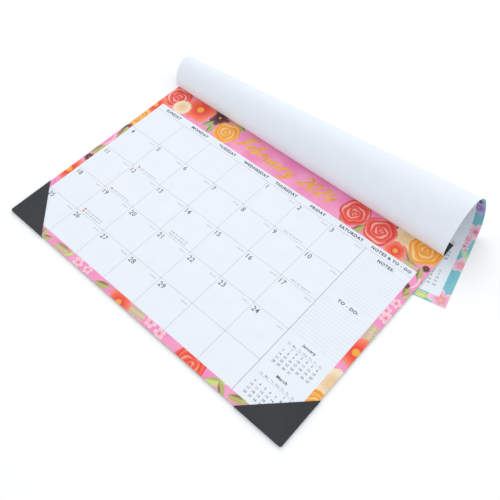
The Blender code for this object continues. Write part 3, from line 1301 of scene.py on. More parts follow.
SCRIPT_WIDTH = {"F": 1.3, "J": 1.35, "M": 1.8, "y": 0.98, "r": 0.8, "e": 0.8, "b": 0.82}
SCRIPT_SLANT = 0.28


def brush_stroke(points: Sequence[Sequence[float]], steps: int = 9) -> tuple[Array, Array]:
    """A brush stroke: a band of varying width along a smooth curve.

    Catmull-Rom: between two points the curve is the cubic through both whose slopes
    are half the chord of their neighbours. The band is the curve plus and minus its
    half width along the normal, and its ends taper.

    Args:
        points: rows of across, up and half width.
        steps: points for each span.

    Returns:
        Points of shape (n, 2) and triangles of shape (m, 3).
    """
    p = np.asarray(points, float)
    padded = np.vstack([2 * p[0] - p[1], p, 2 * p[-1] - p[-2]])
    t = np.linspace(0, 1, steps, endpoint=False)[None, :, None]
    a, b, c, d = (padded[i : len(padded) - 3 + i, None] for i in range(4))
    squares = (2 * a - 5 * b + 4 * c - d) * t**2
    cubes = (3 * b - 3 * c + d - a) * t**3
    spans = 0.5 * (2 * b + (c - a) * t + squares + cubes)
    line = np.vstack([spans.reshape(-1, 3), p[-1]])
    way = np.gradient(line[:, :2], axis=0)
    way /= np.maximum(np.linalg.norm(way, axis=1, keepdims=True), 1e-9)
    normal = np.stack([-way[:, 1], way[:, 0]], 1)
    half = np.maximum(1.5 * line[:, 2:], 0.035)
    centre, aside = line[:, :2], normal * half
    band = np.stack([centre + aside, centre - aside], 1).reshape(-1, 2)
    quads = grid_quads(len(line), 2)[:, ::-1]
    return band, np.concatenate([quads[:, [0, 1, 2]], quads[:, [0, 2, 3]]])


def script_title(
    text: str, left: float, right: float, foot: float, small: float
) -> list[Shape]:
    """Sets a title in the brush script, to fill the space between two sides.

    Args:
        text: what it says.
        left: where it starts, in metres.
        right: where it ends.
        foot: its base line.
        small: the height of its small letters.

    Returns:
        One shape for each stroke.
    """
    strokes, pen = [], 0.0
    for letter in text:
        for stroke in SCRIPT.get(letter, ()):
            points, faces = brush_stroke(stroke)
            points = points + [pen, 0]
            points[:, 0] += SCRIPT_SLANT * points[:, 1]
            strokes.append((points, faces))
        pen += SCRIPT_WIDTH.get(letter, 0.75 if letter == " " else 1.02)
    stretch = (right - left) / pen
    return [
        Shape(
            points * [stretch, small] + [left, foot],
            faces,
            (240, 180, 70),
            0.00002 * (index % 2) + np.linspace(0.00001, 0.00007, len(points)),
        )
        for index, (points, faces) in enumerate(strokes)
    ]


def bar(x0: float, x1: float, y0: float, y1: float, colour: Rgb) -> Shape:
    """A flat bar between two corners."""
    points = np.array([(x0, y0), (x1, y0), (x1, y1), (x0, y1)])
    return Shape(points, np.array([(0, 1, 2), (0, 2, 3)]), colour)


def rule(
    start: tuple[float, float], end: tuple[float, float], width: float, colour: Rgb, step: float
) -> list[Shape]:
    """A printed line in short lengths, so that it can follow a bending sheet.

    Args:
        start: where it starts.
        end: where it ends, straight across or straight up from there.
        width: its width.
        colour: its ink.
        step: the longest length.

    Returns:
        The lengths, each a bar.
    """
    reach = max(abs(end[0] - start[0]), abs(end[1] - start[1]))
    marks = np.linspace(0, 1, max(1, math.ceil(reach / step)) + 1)
    xs = start[0] + (end[0] - start[0]) * marks
    ys = start[1] + (end[1] - start[1]) * marks
    across = abs(end[0] - start[0]) > abs(end[1] - start[1])
    grow_x, grow_y = (0.0, width / 2) if across else (width / 2, 0.0)
    ends = zip(xs[:-1], xs[1:], ys[:-1], ys[1:])
    return [
        bar(
            min(a, b) - grow_x,
            max(a, b) + grow_x,
            min(c, d) - grow_y,
            max(c, d) + grow_y,
            colour,
        )
        for a, b, c, d in ends
    ]


RULE_WIDTH = 0.00062
DIVIDER_WIDTH = 0.0008
FINE_WIDTH = 0.0005


@dataclass
class MonthPrint:
    """The lettering, rules and gold title of one month's leaf."""

    month: int
    face: Typeface
    step: float
    holidays: dict[int, tuple[int, int]] = field(default_factory=dict)

    def name(self, month: int) -> str:
        """A month's name, the months wrapping round the year."""
        return calendar.month_name[(month - 1) % 12 + 1]

    def weeks(self, month: int) -> list[list[int]]:
        """A month's weeks from Sunday, days outside it as 0."""
        year = YEAR + (month - 1) // 12
        return calendar.Calendar(6).monthdayscalendar(year, (month - 1) % 12 + 1)

    def cell(self, week: int, weekday: int) -> tuple[float, float]:
        """The back left corner of a day's cell."""
        return GRID_LEFT + weekday * CELL_WIDTH, GRID_BACK - week * CELL_DEPTH

    def rules(self) -> list[Shape]:
        """The grid, the divider of the notes column, and its writing lines.

        Returns:
            The bars.
        """
        shapes: list[Shape] = []
        for index in range(1, 7):
            x = GRID_LEFT + index * CELL_WIDTH
            shapes += rule((x, PANEL_FRONT), (x, GRID_BACK), RULE_WIDTH, RULE_INK, self.step)
        x = NOTES_LEFT
        shapes += rule((x, PANEL_FRONT), (x, GRID_BACK), DIVIDER_WIDTH, DIVIDER_INK, self.step)
        for week in range(5):
            y = GRID_BACK - week * CELL_DEPTH
            right = PANEL_RIGHT if week == 0 else NOTES_LEFT
            shapes += rule((PANEL_LEFT, y), (right, y), RULE_WIDTH, RULE_INK, self.step)
        for y in (*np.arange(0.2280, 0.1665, -0.0042), *np.arange(0.1570, 0.1000, -0.0042)):
            shapes += rule(
                (NOTES_LEFT + 0.001, y), (PANEL_RIGHT, y), FINE_WIDTH, FINE_INK, self.step
            )
        return shapes

    def headings(self) -> list[Shape]:
        """The weekdays and the notes column's headings.

        Returns:
            The words.
        """
        shapes = []
        foot = GRID_BACK + 0.0036
        for index in range(7):
            word = calendar.day_name[(index + 6) % 7].upper()
            x = GRID_LEFT + (index + 0.5) * CELL_WIDTH
            shapes.append(self.face.set_text(word, x, foot, 0.0042, DARK_INK, 0.040, True, 1.1))
        middle = (NOTES_LEFT + PANEL_RIGHT) / 2
        for words, y in (("NOTES & TO - DO", foot), ("NOTES:", 0.2302), ("TO - DO:", 0.1602)):
            shapes.append(
                self.face.set_text(words, middle, y, 0.0040, DARK_INK, 0.040, True, 1.1)
            )
        return shapes

    def dates(self) -> list[Shape]:
        """Each day's date, its count in the year, and marks that stand for holidays.

        Returns:
            The numbers and the marks.
        """
        shapes = []
        before = sum(len_of_month(m) for m in range(1, self.month))
        whole_year = 366
        for week, days in enumerate(self.weeks(self.month)):
            for weekday, day in enumerate(days):
                if not day:
                    continue
                x, y = self.cell(min(week, 4), weekday)
                aside = 0.0115 if week == 5 else 0.0
                words = f"/{day}" if week == 5 else f"{day}"
                number = self.face.set_text(
                    words, x + 0.0032 + aside, y - 0.0088, 0.0064, DATE_INK, 0.010
                )
                shapes.append(number.split())
                if week == 5:
                    continue
                count = before + day
                left = f"{count:03d}/{whole_year - count:03d}"
                shapes.append(
                    self.face.set_text(left, x + 0.0375, y - 0.0058, 0.0019, GREY_INK, 0.02)
                )
                shapes += self.holiday(day, x, max(y - CELL_DEPTH, PANEL_FRONT))
        return shapes

    def holiday(self, day: int, x: float, foot: float) -> list[Shape]:
        """Rows of short dashes, with small flags, that stand for a day's holiday lines.

        Args:
            day: the day of the month.
            x: the left of its cell.
            foot: the front of its cell.

        Returns:
            Its bars.
        """
        lines, flags = self.holidays.get(day, (0, 0))
        shapes = []
        for index in range(lines):
            low = foot + 0.0022 + 0.0036 * index
            start = x + 0.0070
            if index < flags:
                shapes.append(bar(start, start + 0.0030, low, low + 0.0020, RED_INK))
            words = np.cumsum([0.0, 0.0085, 0.0060, 0.0095, 0.0050]) + start + 0.0045
            ends = np.minimum(words[1:] - 0.0012, x + CELL_WIDTH - 0.003)
            shapes += [
                bar(a, b, low + 0.0003, low + 0.0015, NOTE_INK) for a, b in zip(words, ends)
            ]
        return shapes

    def small_month(self, month: int, back: float) -> list[Shape]:
        """A small month table in the notes column.

        Args:
            month: which month, counted on from January of this year.
            back: the height of its top in the sheet.

        Returns:
            Its shapes.
        """
        left, pitch = NOTES_LEFT + 0.0112, 0.0068
        middle = left + 3 * pitch
        name = self.name(month)
        shapes = [self.face.set_text(name, middle, back, 0.0034, DARK_INK, 0.03, True, 1.1)]
        row = back - 0.0070
        line = row - 0.0012
        for index, word in enumerate(("Su", "Mo", "Tu", "We", "Th", "Fr", "Sa")):
            x = left + index * pitch
            shapes.append(self.face.set_text(word, x, row, 0.0026, GREY_INK, 0.03, True))
        shapes += rule(
            (left - 0.003, line), (left + 6 * pitch + 0.003, line), 0.0003, GREY_INK, self.step
        )
        for week, days in enumerate(self.weeks(month)):
            for weekday, day in enumerate(days):
                if not day:
                    continue
                x, y = left + weekday * pitch, line - 0.0041 - 0.0052 * week
                shapes.append(
                    self.face.set_text(str(day), x, y, 0.0027, SMALL_INK, 0.03, True)
                )
        return [s for s in shapes if s.points[:, 1].min() > PANEL_FRONT + 0.0003]

    def lettering(self) -> list[Shape]:
        """Everything printed in ink.

        Returns:
            The shapes.
        """
        return [
            *self.rules(),
            *self.headings(),
            *self.dates(),
            *self.small_month(self.month - 1, 0.0938),
            *self.small_month(self.month + 1, 0.0498),
        ]

    def title(self) -> list[Shape]:
        """The month and the year in gold brush script."""
        words = f"{self.name(self.month)} {YEAR}"
        return script_title(words, 0.1320, 0.2870, 0.2598, 0.0100)


def len_of_month(month: int) -> int:
    """The days of a month of this year."""
    return calendar.monthrange(YEAR, month)[1]


# ---------------------------------------------------------------- sheets in space


@dataclass
class FlatLeaf:
    """A leaf lying flat at one height."""

    top: float

    def place(self, x: Array, y: Array, lift: Array | float) -> Array:
        """Points of the flat sheet in the row frame, raised by lift from its top.

        Args:
            x: places across the sheet.
            y: places from the bound edge.
            lift: the height above the printed face.

        Returns:
            Points of shape (n, 3).
        """
        return np.stack([x, y, np.full_like(x, self.top) + lift], -1)


@dataclass
class RolledLeaf:
    """January: a sheet turned back in a cone, with its end flat on the desk.

    Every crease of the cone passes through one apex on the line of the headband, so a
    fold is a ray of the flat sheet at some angle from that line. The sheet turns by
    the same small angle at each fold, and the folds lie closer where it bends more.
    Each face between two folds is the flat sheet turned by the product of the folds
    before it. The last fold is where the sheet comes down to the desk.
    """

    apex: float = 0.6163
    first_lift: float = math.radians(45.3)
    spread: float = 0.177
    turning: float = 5.4224
    bends: tuple[float, ...] = (0.9827, 0.1842, 0.9691, 0.2348, 1.2522)
    folds: int = 420
    tuck: float = 0.00115
    flare: float = 1.701
    crease_height: float = FEBRUARY_TOP + 0.00018
    angles: Array = field(init=False)
    matrices: Array = field(init=False)
    landing: tuple[float, float] = field(init=False)

    def __post_init__(self) -> None:
        """Works out the folds' angles and the faces' matrices."""
        samples = 4000
        share = (np.arange(samples) + 0.5) / samples
        bend = np.interp(share, np.linspace(0, 1, len(self.bends)), self.bends)
        turned = np.concatenate([[0], np.cumsum(bend) / bend.sum()])
        places = np.concatenate([[0], share + 0.5 / samples])
        wanted = (np.arange(self.folds - 1) + 0.5) / self.folds
        self.angles = np.interp(wanted, turned, places) * self.spread
        pivot = Vector((-HALF_WIDTH - self.apex, -CREASE_SETBACK, 0.0))
        matrix = Matrix.Translation((0, 0, self.crease_height))
        matrix = matrix @ self.turn(pivot, Vector((1, 0, 0)), self.first_lift)
        matrices = [np.array(matrix)]
        for angle in self.angles:
            ray = Vector((math.cos(angle), -math.sin(angle), 0.0))
            matrix = matrix @ self.turn(pivot, ray, self.turning / self.folds)
            matrices.append(np.array(matrix))
        rest = LEAF_THICKNESS / 2
        slope = matrices[-1]
        ends = [
            (rest - slope[2, 3] - slope[2, 0] * x) / slope[2, 1]
            for x in (-HALF_WIDTH, HALF_WIDTH)
        ]
        self.landing = (float(ends[0]), float(ends[1]))
        start = Vector((-HALF_WIDTH, ends[0], 0.0))
        along = Vector((SHEET_WIDTH, ends[1] - ends[0], 0.0)).normalized()
        tilt = math.acos(min(1.0, slope[2, 2]))
        matrices.append(np.array(matrix @ self.turn(start, along, tilt)))
        self.matrices = np.array(matrices)

    @staticmethod
    def turn(pivot: Vector, line: Vector, angle: float) -> Matrix:
        """The turn of a fold: by angle about a line through a point, lifting the front."""
        moved = Matrix.Translation(pivot)
        return moved @ Matrix.Rotation(-angle, 4, line) @ moved.inverted()

    def tuck_at(self, y: Array, share: Array) -> Array:
        """How far the loop sits inside its cone, so that it clears the pad unrolled.

        It eases in just past the crease and out again before the sheet lands.

        Args:
            y: places from the bound edge.
            share: the share of the way across the sheet.

        Returns:
            The distances towards the printed side.
        """
        far = (-CREASE_SETBACK - y) / (1 + (self.flare - 1) * share)
        return self.tuck * soft_step(0.003, 0.013, far) * (1 - soft_step(0.080, 0.102, far))

    def place(self, x: Array, y: Array, lift: Array | float) -> Array:
        """Points of the flat sheet in the row frame, raised by lift from its face.

        Args:
            x: places across the sheet.
            y: places from the bound edge.
            lift: the height above the printed face.

        Returns:
            Points of shape (n, 3).
        """
        angle = np.arctan2(-CREASE_SETBACK - y, x + HALF_WIDTH + self.apex)
        face = np.searchsorted(self.angles, angle)
        share = (x + HALF_WIDTH) / SHEET_WIDTH
        land = self.landing[0] + (self.landing[1] - self.landing[0]) * share
        face = np.where(y < land, len(self.matrices) - 1, face)
        height = np.asarray(lift, float) + LEAF_THICKNESS / 2 + self.tuck_at(y, share)
        flat = np.stack([x, y, height, np.ones_like(x)], -1)
        return np.einsum("nij,nj->ni", self.matrices[face], flat)[:, :3]


@dataclass
class Zone:
    """A part of a sheet between two lines, each given by its Y at the sides."""

    name: str
    back: tuple[float, float]
    front: tuple[float, float]
    bodies: tuple[str, ...]
    bend_from: Optional[tuple[float, float, float]] = None
    bend_to: Optional[tuple[float, float, float]] = None
    replaced: tuple[str, ...] = ()

    def at(self, line: tuple[float, float], x: Array) -> Array:
        """A line's Y at places across the sheet."""
        return line[0] + (line[1] - line[0]) * (x + HALF_WIDTH) / SHEET_WIDTH

    def holds(self, point: Array) -> bool:
        """Whether a point of the flat sheet lies in the zone."""
        x = np.array([point[0]])
        return bool(self.at(self.front, x)[0] < point[1] <= self.at(self.back, x)[0])

    def carry(self, obj: bpy.types.Object) -> None:
        """Makes a finished piece move with the zone's body where it has one; where it has two,
        only bakes the piece's place into its points.

        Args:
            obj: the piece.
        """
        if len(self.bodies) == 1:
            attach(obj, self.bodies[0])
        else:
            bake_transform(obj)


HAIR = 0.00003  # half the gap of the close pairs of points at a panel edge


def sides(fine: float, whole: bool) -> Array:
    """Places across the sheet for a zone's columns.

    Args:
        fine: the spacing where the print is detailed.
        whole: whether that is all the way across, or only in the side borders.

    Returns:
        The places in metres, 0 at the middle, with a close pair at each panel edge.
    """
    left, right = PANEL_LEFT - HALF_WIDTH, PANEL_RIGHT - HALF_WIDTH
    edges = [left - HAIR, left + HAIR, right - HAIR, right + HAIR]
    if whole:
        made = np.linspace(-HALF_WIDTH, HALF_WIDTH, round(SHEET_WIDTH / fine) + 1)
    else:
        made = np.concatenate(
            [
                np.linspace(-HALF_WIDTH, left, round(PANEL_LEFT / fine) + 1),
                np.linspace(left, right, 44),
                np.linspace(right, HALF_WIDTH, round((HALF_WIDTH - right) / fine) + 1),
            ]
        )
    return np.unique(np.round(np.concatenate([made, edges]), 7))


@dataclass
class PrintedSheet:
    """One month's leaf: painted zones of paper, with its ink and gold above them."""

    art: PageArt
    shape: FlatLeaf | RolledLeaf
    zones: list[Zone]
    material: bpy.types.Material
    finishes: Finishes
    slot: str
    fine: float = 0.00066
    declared: tuple[str, tuple[str, ...]] = ("laid", ("backing_board",))

    def rows(self, zone: Zone) -> Array:
        """The shares from back to front at which a zone has rows of points.

        The panel's back and front edges get a close pair of rows where they run
        straight across the zone.

        Args:
            zone: the part of the sheet.

        Returns:
            The shares, in rising order.
        """
        depth = max(abs(zone.back[0] - zone.front[0]), abs(zone.back[1] - zone.front[1]))
        shares = np.linspace(0, 1, max(2, round(depth / self.fine)) + 1)
        if zone.back[0] == zone.back[1] and zone.front[0] == zone.front[1]:
            for edge in (PANEL_BACK - SHEET_DEPTH, PANEL_FRONT - SHEET_DEPTH):
                share = (zone.back[0] - edge) / (zone.back[0] - zone.front[0])
                if 0.001 < share < 0.999:
                    hair = HAIR / depth
                    shares = np.append(shares, [share - hair, share + hair])
        return np.unique(shares)

    def detailed(self, zone: Zone) -> bool:
        """Whether a zone crosses the header or the front border.

        Args:
            zone: the part of the sheet.

        Returns:
            True where it does.
        """
        header = max(zone.back) > PANEL_BACK - SHEET_DEPTH + 0.0005
        foot = min(zone.front) < PANEL_FRONT - SHEET_DEPTH - 0.0005
        return header or foot

    def build_zone(self, zone: Zone) -> bpy.types.Object:
        """Builds a zone: the grid x, back + share (front - back), above and below.

        Args:
            zone: the part of the sheet.

        Returns:
            The piece.
        """
        columns = sides(self.fine, self.detailed(zone))
        shares = self.rows(zone)
        x, share = np.meshgrid(columns, shares)
        y = zone.at(zone.back, x) + share * (zone.at(zone.front, x) - zone.at(zone.back, x))
        x, y = x.ravel(), y.ravel()
        points = np.concatenate(
            [self.shape.place(x, y, 0.0), self.shape.place(x, y, -LEAF_THICKNESS)]
        )
        flat = np.tile(np.stack([x, y], 1), (2, 1))
        back = np.tile(linear(PAPER), (len(x), 1))
        colours = np.concatenate([self.art.colours(x, y), back])
        faces = shell_quads(len(shares), len(columns))
        obj = new_piece(zone.name, points, faces, self.material, colours, flat)
        zone.carry(obj)
        if zone.replaced:
            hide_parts(*zone.replaced)
        self.declare(zone)
        return report(obj)

    def declare(self, zone: Zone) -> None:
        """Works out a zone's depths at the two sides, and does nothing more with them.

        Args:
            zone: the zone.
        """
        depths = (zone.back[0] - zone.front[0], zone.back[1] - zone.front[1])
        if min(depths) < 0.0101:
            return

    def raise_shapes(
        self, name: str, shapes: Sequence[Shape], zone: Zone, material: bpy.types.Material
    ) -> None:
        """Prints flat shapes on a zone, each a plate a hundredth of a millimetre thick.

        Args:
            name: the piece's name.
            shapes: the shapes, in metres from the sheet's front left corner.
            zone: the zone that they lie in.
            material: their ink.
        """
        counts = np.cumsum([0] + [len(s.points) for s in shapes])
        rise = np.concatenate([np.zeros(len(s.points)) + s.rise for s in shapes])
        flat = np.concatenate([s.points for s in shapes]) - [HALF_WIDTH, SHEET_DEPTH]
        faces = np.concatenate([s.triangles + n for s, n in zip(shapes, counts)])
        a, b, c = (flat[faces[:, i]] for i in range(3))
        turned = (b[:, 0] - a[:, 0]) * (c[:, 1] - a[:, 1]) < (b[:, 1] - a[:, 1]) * (
            c[:, 0] - a[:, 0]
        )
        faces = np.where(turned[:, None], faces[:, ::-1], faces)
        ends = np.concatenate([faces[:, [0, 1]], faces[:, [1, 2]], faces[:, [2, 0]]])
        key = np.sort(ends, 1)
        _, index, count = np.unique(key, axis=0, return_inverse=True, return_counts=True)
        rim = ends[count[index.reshape(-1)] == 1]
        size = len(flat)
        walls = np.concatenate(
            [
                np.stack([rim[:, 1], rim[:, 0], rim[:, 0] + size], 1),
                np.stack([rim[:, 1], rim[:, 0] + size, rim[:, 1] + size], 1),
            ]
        )
        x, y = flat[:, 0], flat[:, 1]
        points = np.concatenate(
            [self.shape.place(x, y, 0.000012 + rise), self.shape.place(x, y, -0.000008)]
        )
        tints = [np.tile(linear(s.colour), (len(s.points), 1)) for s in shapes]
        colours = np.concatenate(tints)
        obj = new_piece(
            name,
            points,
            np.concatenate([faces, faces[:, ::-1] + size, walls]),
            material,
            np.tile(colours, (2, 1)),
            smooth=False,
        )
        zone.carry(obj)
        report(obj)

    def build(self, printing: Optional[MonthPrint] = None) -> None:
        """Builds the leaf, with its lettering where it has any.

        Args:
            printing: the month's print.
        """
        for zone in self.zones:
            self.build_zone(zone)
        if printing is None:
            return
        for shapes, kind, material in (
            (printing.lettering(), "ink", self.finishes.ink),
            (printing.title(), "title", self.finishes.gold),
        ):
            for zone in self.zones:
                inside = [
                    s for s in shapes if zone.holds(s.middle - [HALF_WIDTH, SHEET_DEPTH])
                ]
                if inside:
                    self.raise_shapes(f"{zone.name}_{kind}", inside, zone, material)


# ---------------------------------------------------------------- the pad


@dataclass
class Headband:
    """The leatherette strip folded over the bound edge."""

    depth: float = 0.0180
    thickness: float = 0.0003
    bend: float = 0.0007
    material: Optional[bpy.types.Material] = None

    def build(self) -> bpy.types.Object:
        """Builds the strip: a C profile with rounded bends, carried across the pad.

        The outer line runs under the board, round two quarter circles and back over
        the leaves. The inner line is the same at the wall's thickness inside it.

        Returns:
            The piece.
        """
        low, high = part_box("headband")
        turn = np.linspace(-math.pi / 2, 0, 9)
        y, z, top = high.y - self.bend, low.z + self.bend, high.z - self.bend
        quarter = np.stack([np.cos(turn), np.sin(turn)], 1)

        def line(radius: float) -> Array:
            """The C at a bend radius: foot, lower bend, upper bend, top.

            Args:
                radius: the bend's radius.

            Returns:
                Its points, from the foot on.
            """
            lower = quarter * radius + [y, z]
            upper = (quarter * [1, -1])[::-1] * radius + [y, top]
            lip_low = [[-self.depth, lower[0, 1]]]
            lip_high = [[-self.depth, upper[-1, 1]]]
            return np.concatenate([lip_low, lower, upper, lip_high])

        profile = np.concatenate([line(self.bend), line(self.bend - self.thickness)[::-1]])
        columns = np.linspace(low.x, high.x, 49)
        count = len(profile)
        points = np.stack(
            [
                np.repeat(columns, count),
                np.tile(profile[:, 0], len(columns)),
                np.tile(profile[:, 1], len(columns)),
            ],
            1,
        )
        obj = new_piece(
            "headband_wrap", points, ring_quads(len(columns), count), self.material
        )
        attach(obj, "pad")
        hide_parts("headband")
        return report(obj)


@dataclass
class CornerPocket:
    """A triangular leatherette sleeve over one front corner."""

    name: str
    side: int
    reach: float = 0.0613
    corner: float = 0.0024
    fold: float = 0.0012
    wall: float = 0.0004
    material: Optional[bpy.types.Material] = None

    def outline(self, inset: float) -> Array:
        """The sleeve's edge, moved in by inset: one leg, the round corner, one leg.

        Args:
            inset: how far inside the outer edge.

        Returns:
            Points of shape (n, 2), from one end of the diagonal mouth to the other.
        """
        share = np.linspace(1, 0, 15)
        leg = self.corner + share * (self.reach - inset - self.corner)
        turn = np.linspace(0, math.pi / 2, 9)[1:-1]
        round_off = self.corner - (self.corner - inset) * np.stack(
            [np.cos(turn), np.sin(turn)], 1
        )
        first = np.stack([np.full_like(leg, inset), leg], 1)
        return np.concatenate([first, round_off, first[::-1, ::-1]])

    def section(self, wall: float, half: float) -> Array:
        """One side of the leatherette: flap, rounded fold, edge, fold and flap.

        The fold is a quarter circle from the flap down to the edge. The flap runs from
        the fold square to the mouth, whose line is x + y = reach.

        Args:
            wall: how far inside the outer side this one lies.
            half: its half height.

        Returns:
            Points of shape (stations, n, 3), from the upper mouth to the lower.
        """
        turn = np.linspace(0, math.pi / 2, 7)
        radius = self.fold - wall
        insets = wall + radius * (1 - np.sin(turn))
        rounds = np.stack([self.outline(inset) for inset in insets], 1)
        heights = half - radius * (1 - np.cos(turn))
        slide = rounds[:, 0, 0] - rounds[:, 0, 1]
        mouth = np.stack([self.reach + slide, self.reach - slide], 1) / 2
        share = np.linspace(0, 1, 7)[:-1, None]
        flap = mouth[:, None] + (rounds[:, :1] - mouth[:, None]) * share
        plan = np.concatenate([flap, rounds], 1)
        level = np.concatenate([np.full(6, half), heights])
        upper = np.concatenate(
            [plan, np.broadcast_to(level[None, :, None], (*plan.shape[:2], 1))], 2
        )
        return np.concatenate([upper, (upper * [1, 1, -1])[:, ::-1]], 1)

    def build(self) -> bpy.types.Object:
        """Builds the sleeve: the section's two sides, carried round the corner.

        Returns:
            The piece.
        """
        low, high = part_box(self.name)
        half = (high.z - low.z) / 2
        outer = self.section(0.0, half)
        inner = self.section(self.wall, half - self.wall)[:, ::-1]
        rings = np.concatenate([outer, inner], 1)
        stations, count = rings.shape[:2]
        flat = rings.reshape(-1, 3)
        edge = low.x if self.side < 0 else high.x
        points = np.stack(
            [
                edge - self.side * flat[:, 0],
                low.y + flat[:, 1],
                (low.z + high.z) / 2 + flat[:, 2],
            ],
            1,
        )
        obj = new_piece(
            f"{self.name}_sleeve", points, ring_quads(stations, count), self.material
        )
        merge_doubles(obj)
        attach(obj, "pad")
        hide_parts(self.name)
        return report(obj)


# ---------------------------------------------------------------- the calendar


FEBRUARY_ART = PageArt(2, (251, 166, 206), (246, 144, 194), february_motifs())
JANUARY_ART = PageArt(1, (140, 208, 218), (116, 190, 204), january_motifs())
MARCH_ART = PageArt(3, (168, 206, 150), (140, 186, 126), march_motifs())
LATER_GROUNDS = {
    "april": (176, 160, 214),
    "may": (250, 176, 150),
    "june": (120, 190, 220),
    "july": (244, 120, 120),
    "august": (250, 206, 110),
    "september": (206, 150, 110),
    "october": (240, 150, 80),
    "november": (176, 120, 100),
    "december": (130, 170, 140),
}


@dataclass
class DeskCalendar:
    """The whole calendar, built round the frame."""

    finishes: Finishes
    face: Typeface = field(default_factory=Typeface)
    roll: RolledLeaf = field(default_factory=RolledLeaf)
    january_folds: tuple[float, ...] = (0.0054, 0.0223, 0.0460, 0.0573, 0.0710, 0.0944)

    def dress_frame(self) -> None:
        """Gives the CAD nodes that stay their finishes."""
        for name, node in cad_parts.items():
            if name == "backing_board":
                material = self.finishes.board
            elif name == "padding_compound":
                material = self.finishes.compound
            elif name.endswith("_margin"):
                material = self.finishes.bound_paper
            else:
                continue
            for material_slot in node.material_slots:
                material_slot.material = material
            LOG.info("%s: dressed", name)

    def build_bound_edge(self) -> None:
        """Builds the headband and the pockets."""
        Headband(material=self.finishes.leatherette).build()
        for name, side in (("corner_pocket_left", -1), ("corner_pocket_right", 1)):
            CornerPocket(name, side, material=self.finishes.leatherette).build()

    def build_february(self) -> None:
        """Builds the leaf on top, in zones across it."""
        lower_bend = -0.2050
        row_one, row_three = GRID_BACK - SHEET_DEPTH, GRID_BACK - 2 * CELL_DEPTH - SHEET_DEPTH
        foot = PANEL_FRONT - SHEET_DEPTH
        top = FEBRUARY_TOP
        hinge = -HINGE_SETBACK
        low_bodies = ("february_leaf_2", "february_leaf_3")
        zones = [
            Zone(
                "february_bound_strip",
                (-0.0003,) * 2,
                (hinge,) * 2,
                ("pad",),
                replaced=("february_margin",),
            ),
            Zone(
                "february_header",
                (hinge,) * 2,
                (row_one,) * 2,
                ("march_leaf", "february_leaf_1"),
                (0, hinge, top),
                (0, -0.045, top),
                ("february_leaf_1",),
            ),
            Zone(
                "february_weeks_one_two",
                (row_one,) * 2,
                (row_three,) * 2,
                ("february_leaf_1", "february_leaf_2"),
                (0, row_one - 0.001, top),
                (0, row_three + 0.001, top),
                ("february_leaf_2",),
            ),
            Zone(
                "february_weeks_three_five",
                (row_three,) * 2,
                (foot,) * 2,
                low_bodies,
                (0, row_three - 0.001, top),
                (0, 2 * lower_bend - row_three, top),
                ("february_leaf_3",),
            ),
            Zone(
                "february_front_border",
                (foot,) * 2,
                (-SHEET_DEPTH,) * 2,
                low_bodies,
                (0, row_three - 0.001, top),
                (0, 2 * lower_bend - row_three, top),
            ),
        ]
        sheet = PrintedSheet(
            FEBRUARY_ART,
            FlatLeaf(top),
            zones,
            self.finishes.paper,
            self.finishes,
            "month_paper",
        )
        marks = {2: (1, 0), 5: (1, 1), 10: (1, 0), 12: (1, 1), 14: (2, 0), 19: (2, 2)}
        sheet.build(MonthPrint(2, self.face, 0.0025, marks))

    def build_lower_leaves(self) -> None:
        """Builds March, fully printed, and the nine plainer leaves under it."""
        hinge, foot = -HINGE_SETBACK - 0.0003, PANEL_FRONT - SHEET_DEPTH
        header = PANEL_BACK - SHEET_DEPTH
        for index, month in enumerate(MONTHS[:-1]):
            body = f"{month}_leaf"
            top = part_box(body)[1].z
            shape = FlatLeaf(top)
            if month == "march":
                spans = (
                    ("header", hinge, header - 0.001),
                    ("weeks", header - 0.001, foot),
                    ("front_border", foot, -SHEET_DEPTH),
                )
                art, fine = MARCH_ART, 0.0009
            else:
                spans = (("leaf", hinge, -SHEET_DEPTH),)
                ground, fine = LATER_GROUNDS[month], 0.006
                art = PageArt(12 - index, ground, ground)
            zones = [
                Zone(
                    f"{month}_{label}" + ("_sheet" if label == "leaf" else ""),
                    (back,) * 2,
                    (front,) * 2,
                    (body,),
                    replaced=(body,) if label in ("leaf", "weeks") else (),
                )
                for label, back, front in spans
            ]
            sheet = PrintedSheet(
                art,
                shape,
                zones,
                self.finishes.paper,
                self.finishes,
                "month_paper",
                fine,
            )
            sheet.build(MonthPrint(3, self.face, 0.05) if month == "march" else None)

    def build_january(self) -> None:
        """Builds the turned leaf, in zones across it."""
        crease = -CREASE_SETBACK
        folds = [
            (crease - d, crease - d * self.roll.flare) for d in (0.0, *self.january_folds)
        ] + [self.roll.landing]
        middles = [
            ((a[0] + b[0]) / 2, (a[1] + b[1]) / 2) for a, b in zip(folds[1:-1], folds[2:])
        ]
        foot = (PANEL_FRONT - SHEET_DEPTH,) * 2
        lines = [(crease, crease), *middles, foot, (-SHEET_DEPTH,) * 2]
        zones = []
        for index in range(8):
            back, front = lines[index], lines[index + 1]
            step = min(index, 6)
            last = folds[step + 1]
            ends = self.fold_ends(last, lines[step], lines[step + 1] if step < 6 else None)
            nodes = (f"january_leaf_{index + 1}",) if index < 6 else ()
            zones.append(
                Zone(
                    f"january_turn_{index + 1}",
                    back,
                    front,
                    (f"january_leaf_{step + 1}", f"january_leaf_{step + 2}"),
                    tuple(ends[0]),
                    tuple(ends[1]),
                    nodes if index != 6 else ("january_leaf_7", "january_leaf_8"),
                )
            )
        sheet = PrintedSheet(
            JANUARY_ART,
            self.roll,
            zones,
            self.finishes.turned,
            self.finishes,
            "january_paper",
            0.00085,
            ("folded", ("headband_wrap",)),
        )
        sheet.build(MonthPrint(1, self.face, 0.004, {1: (1, 1), 15: (2, 1)}))

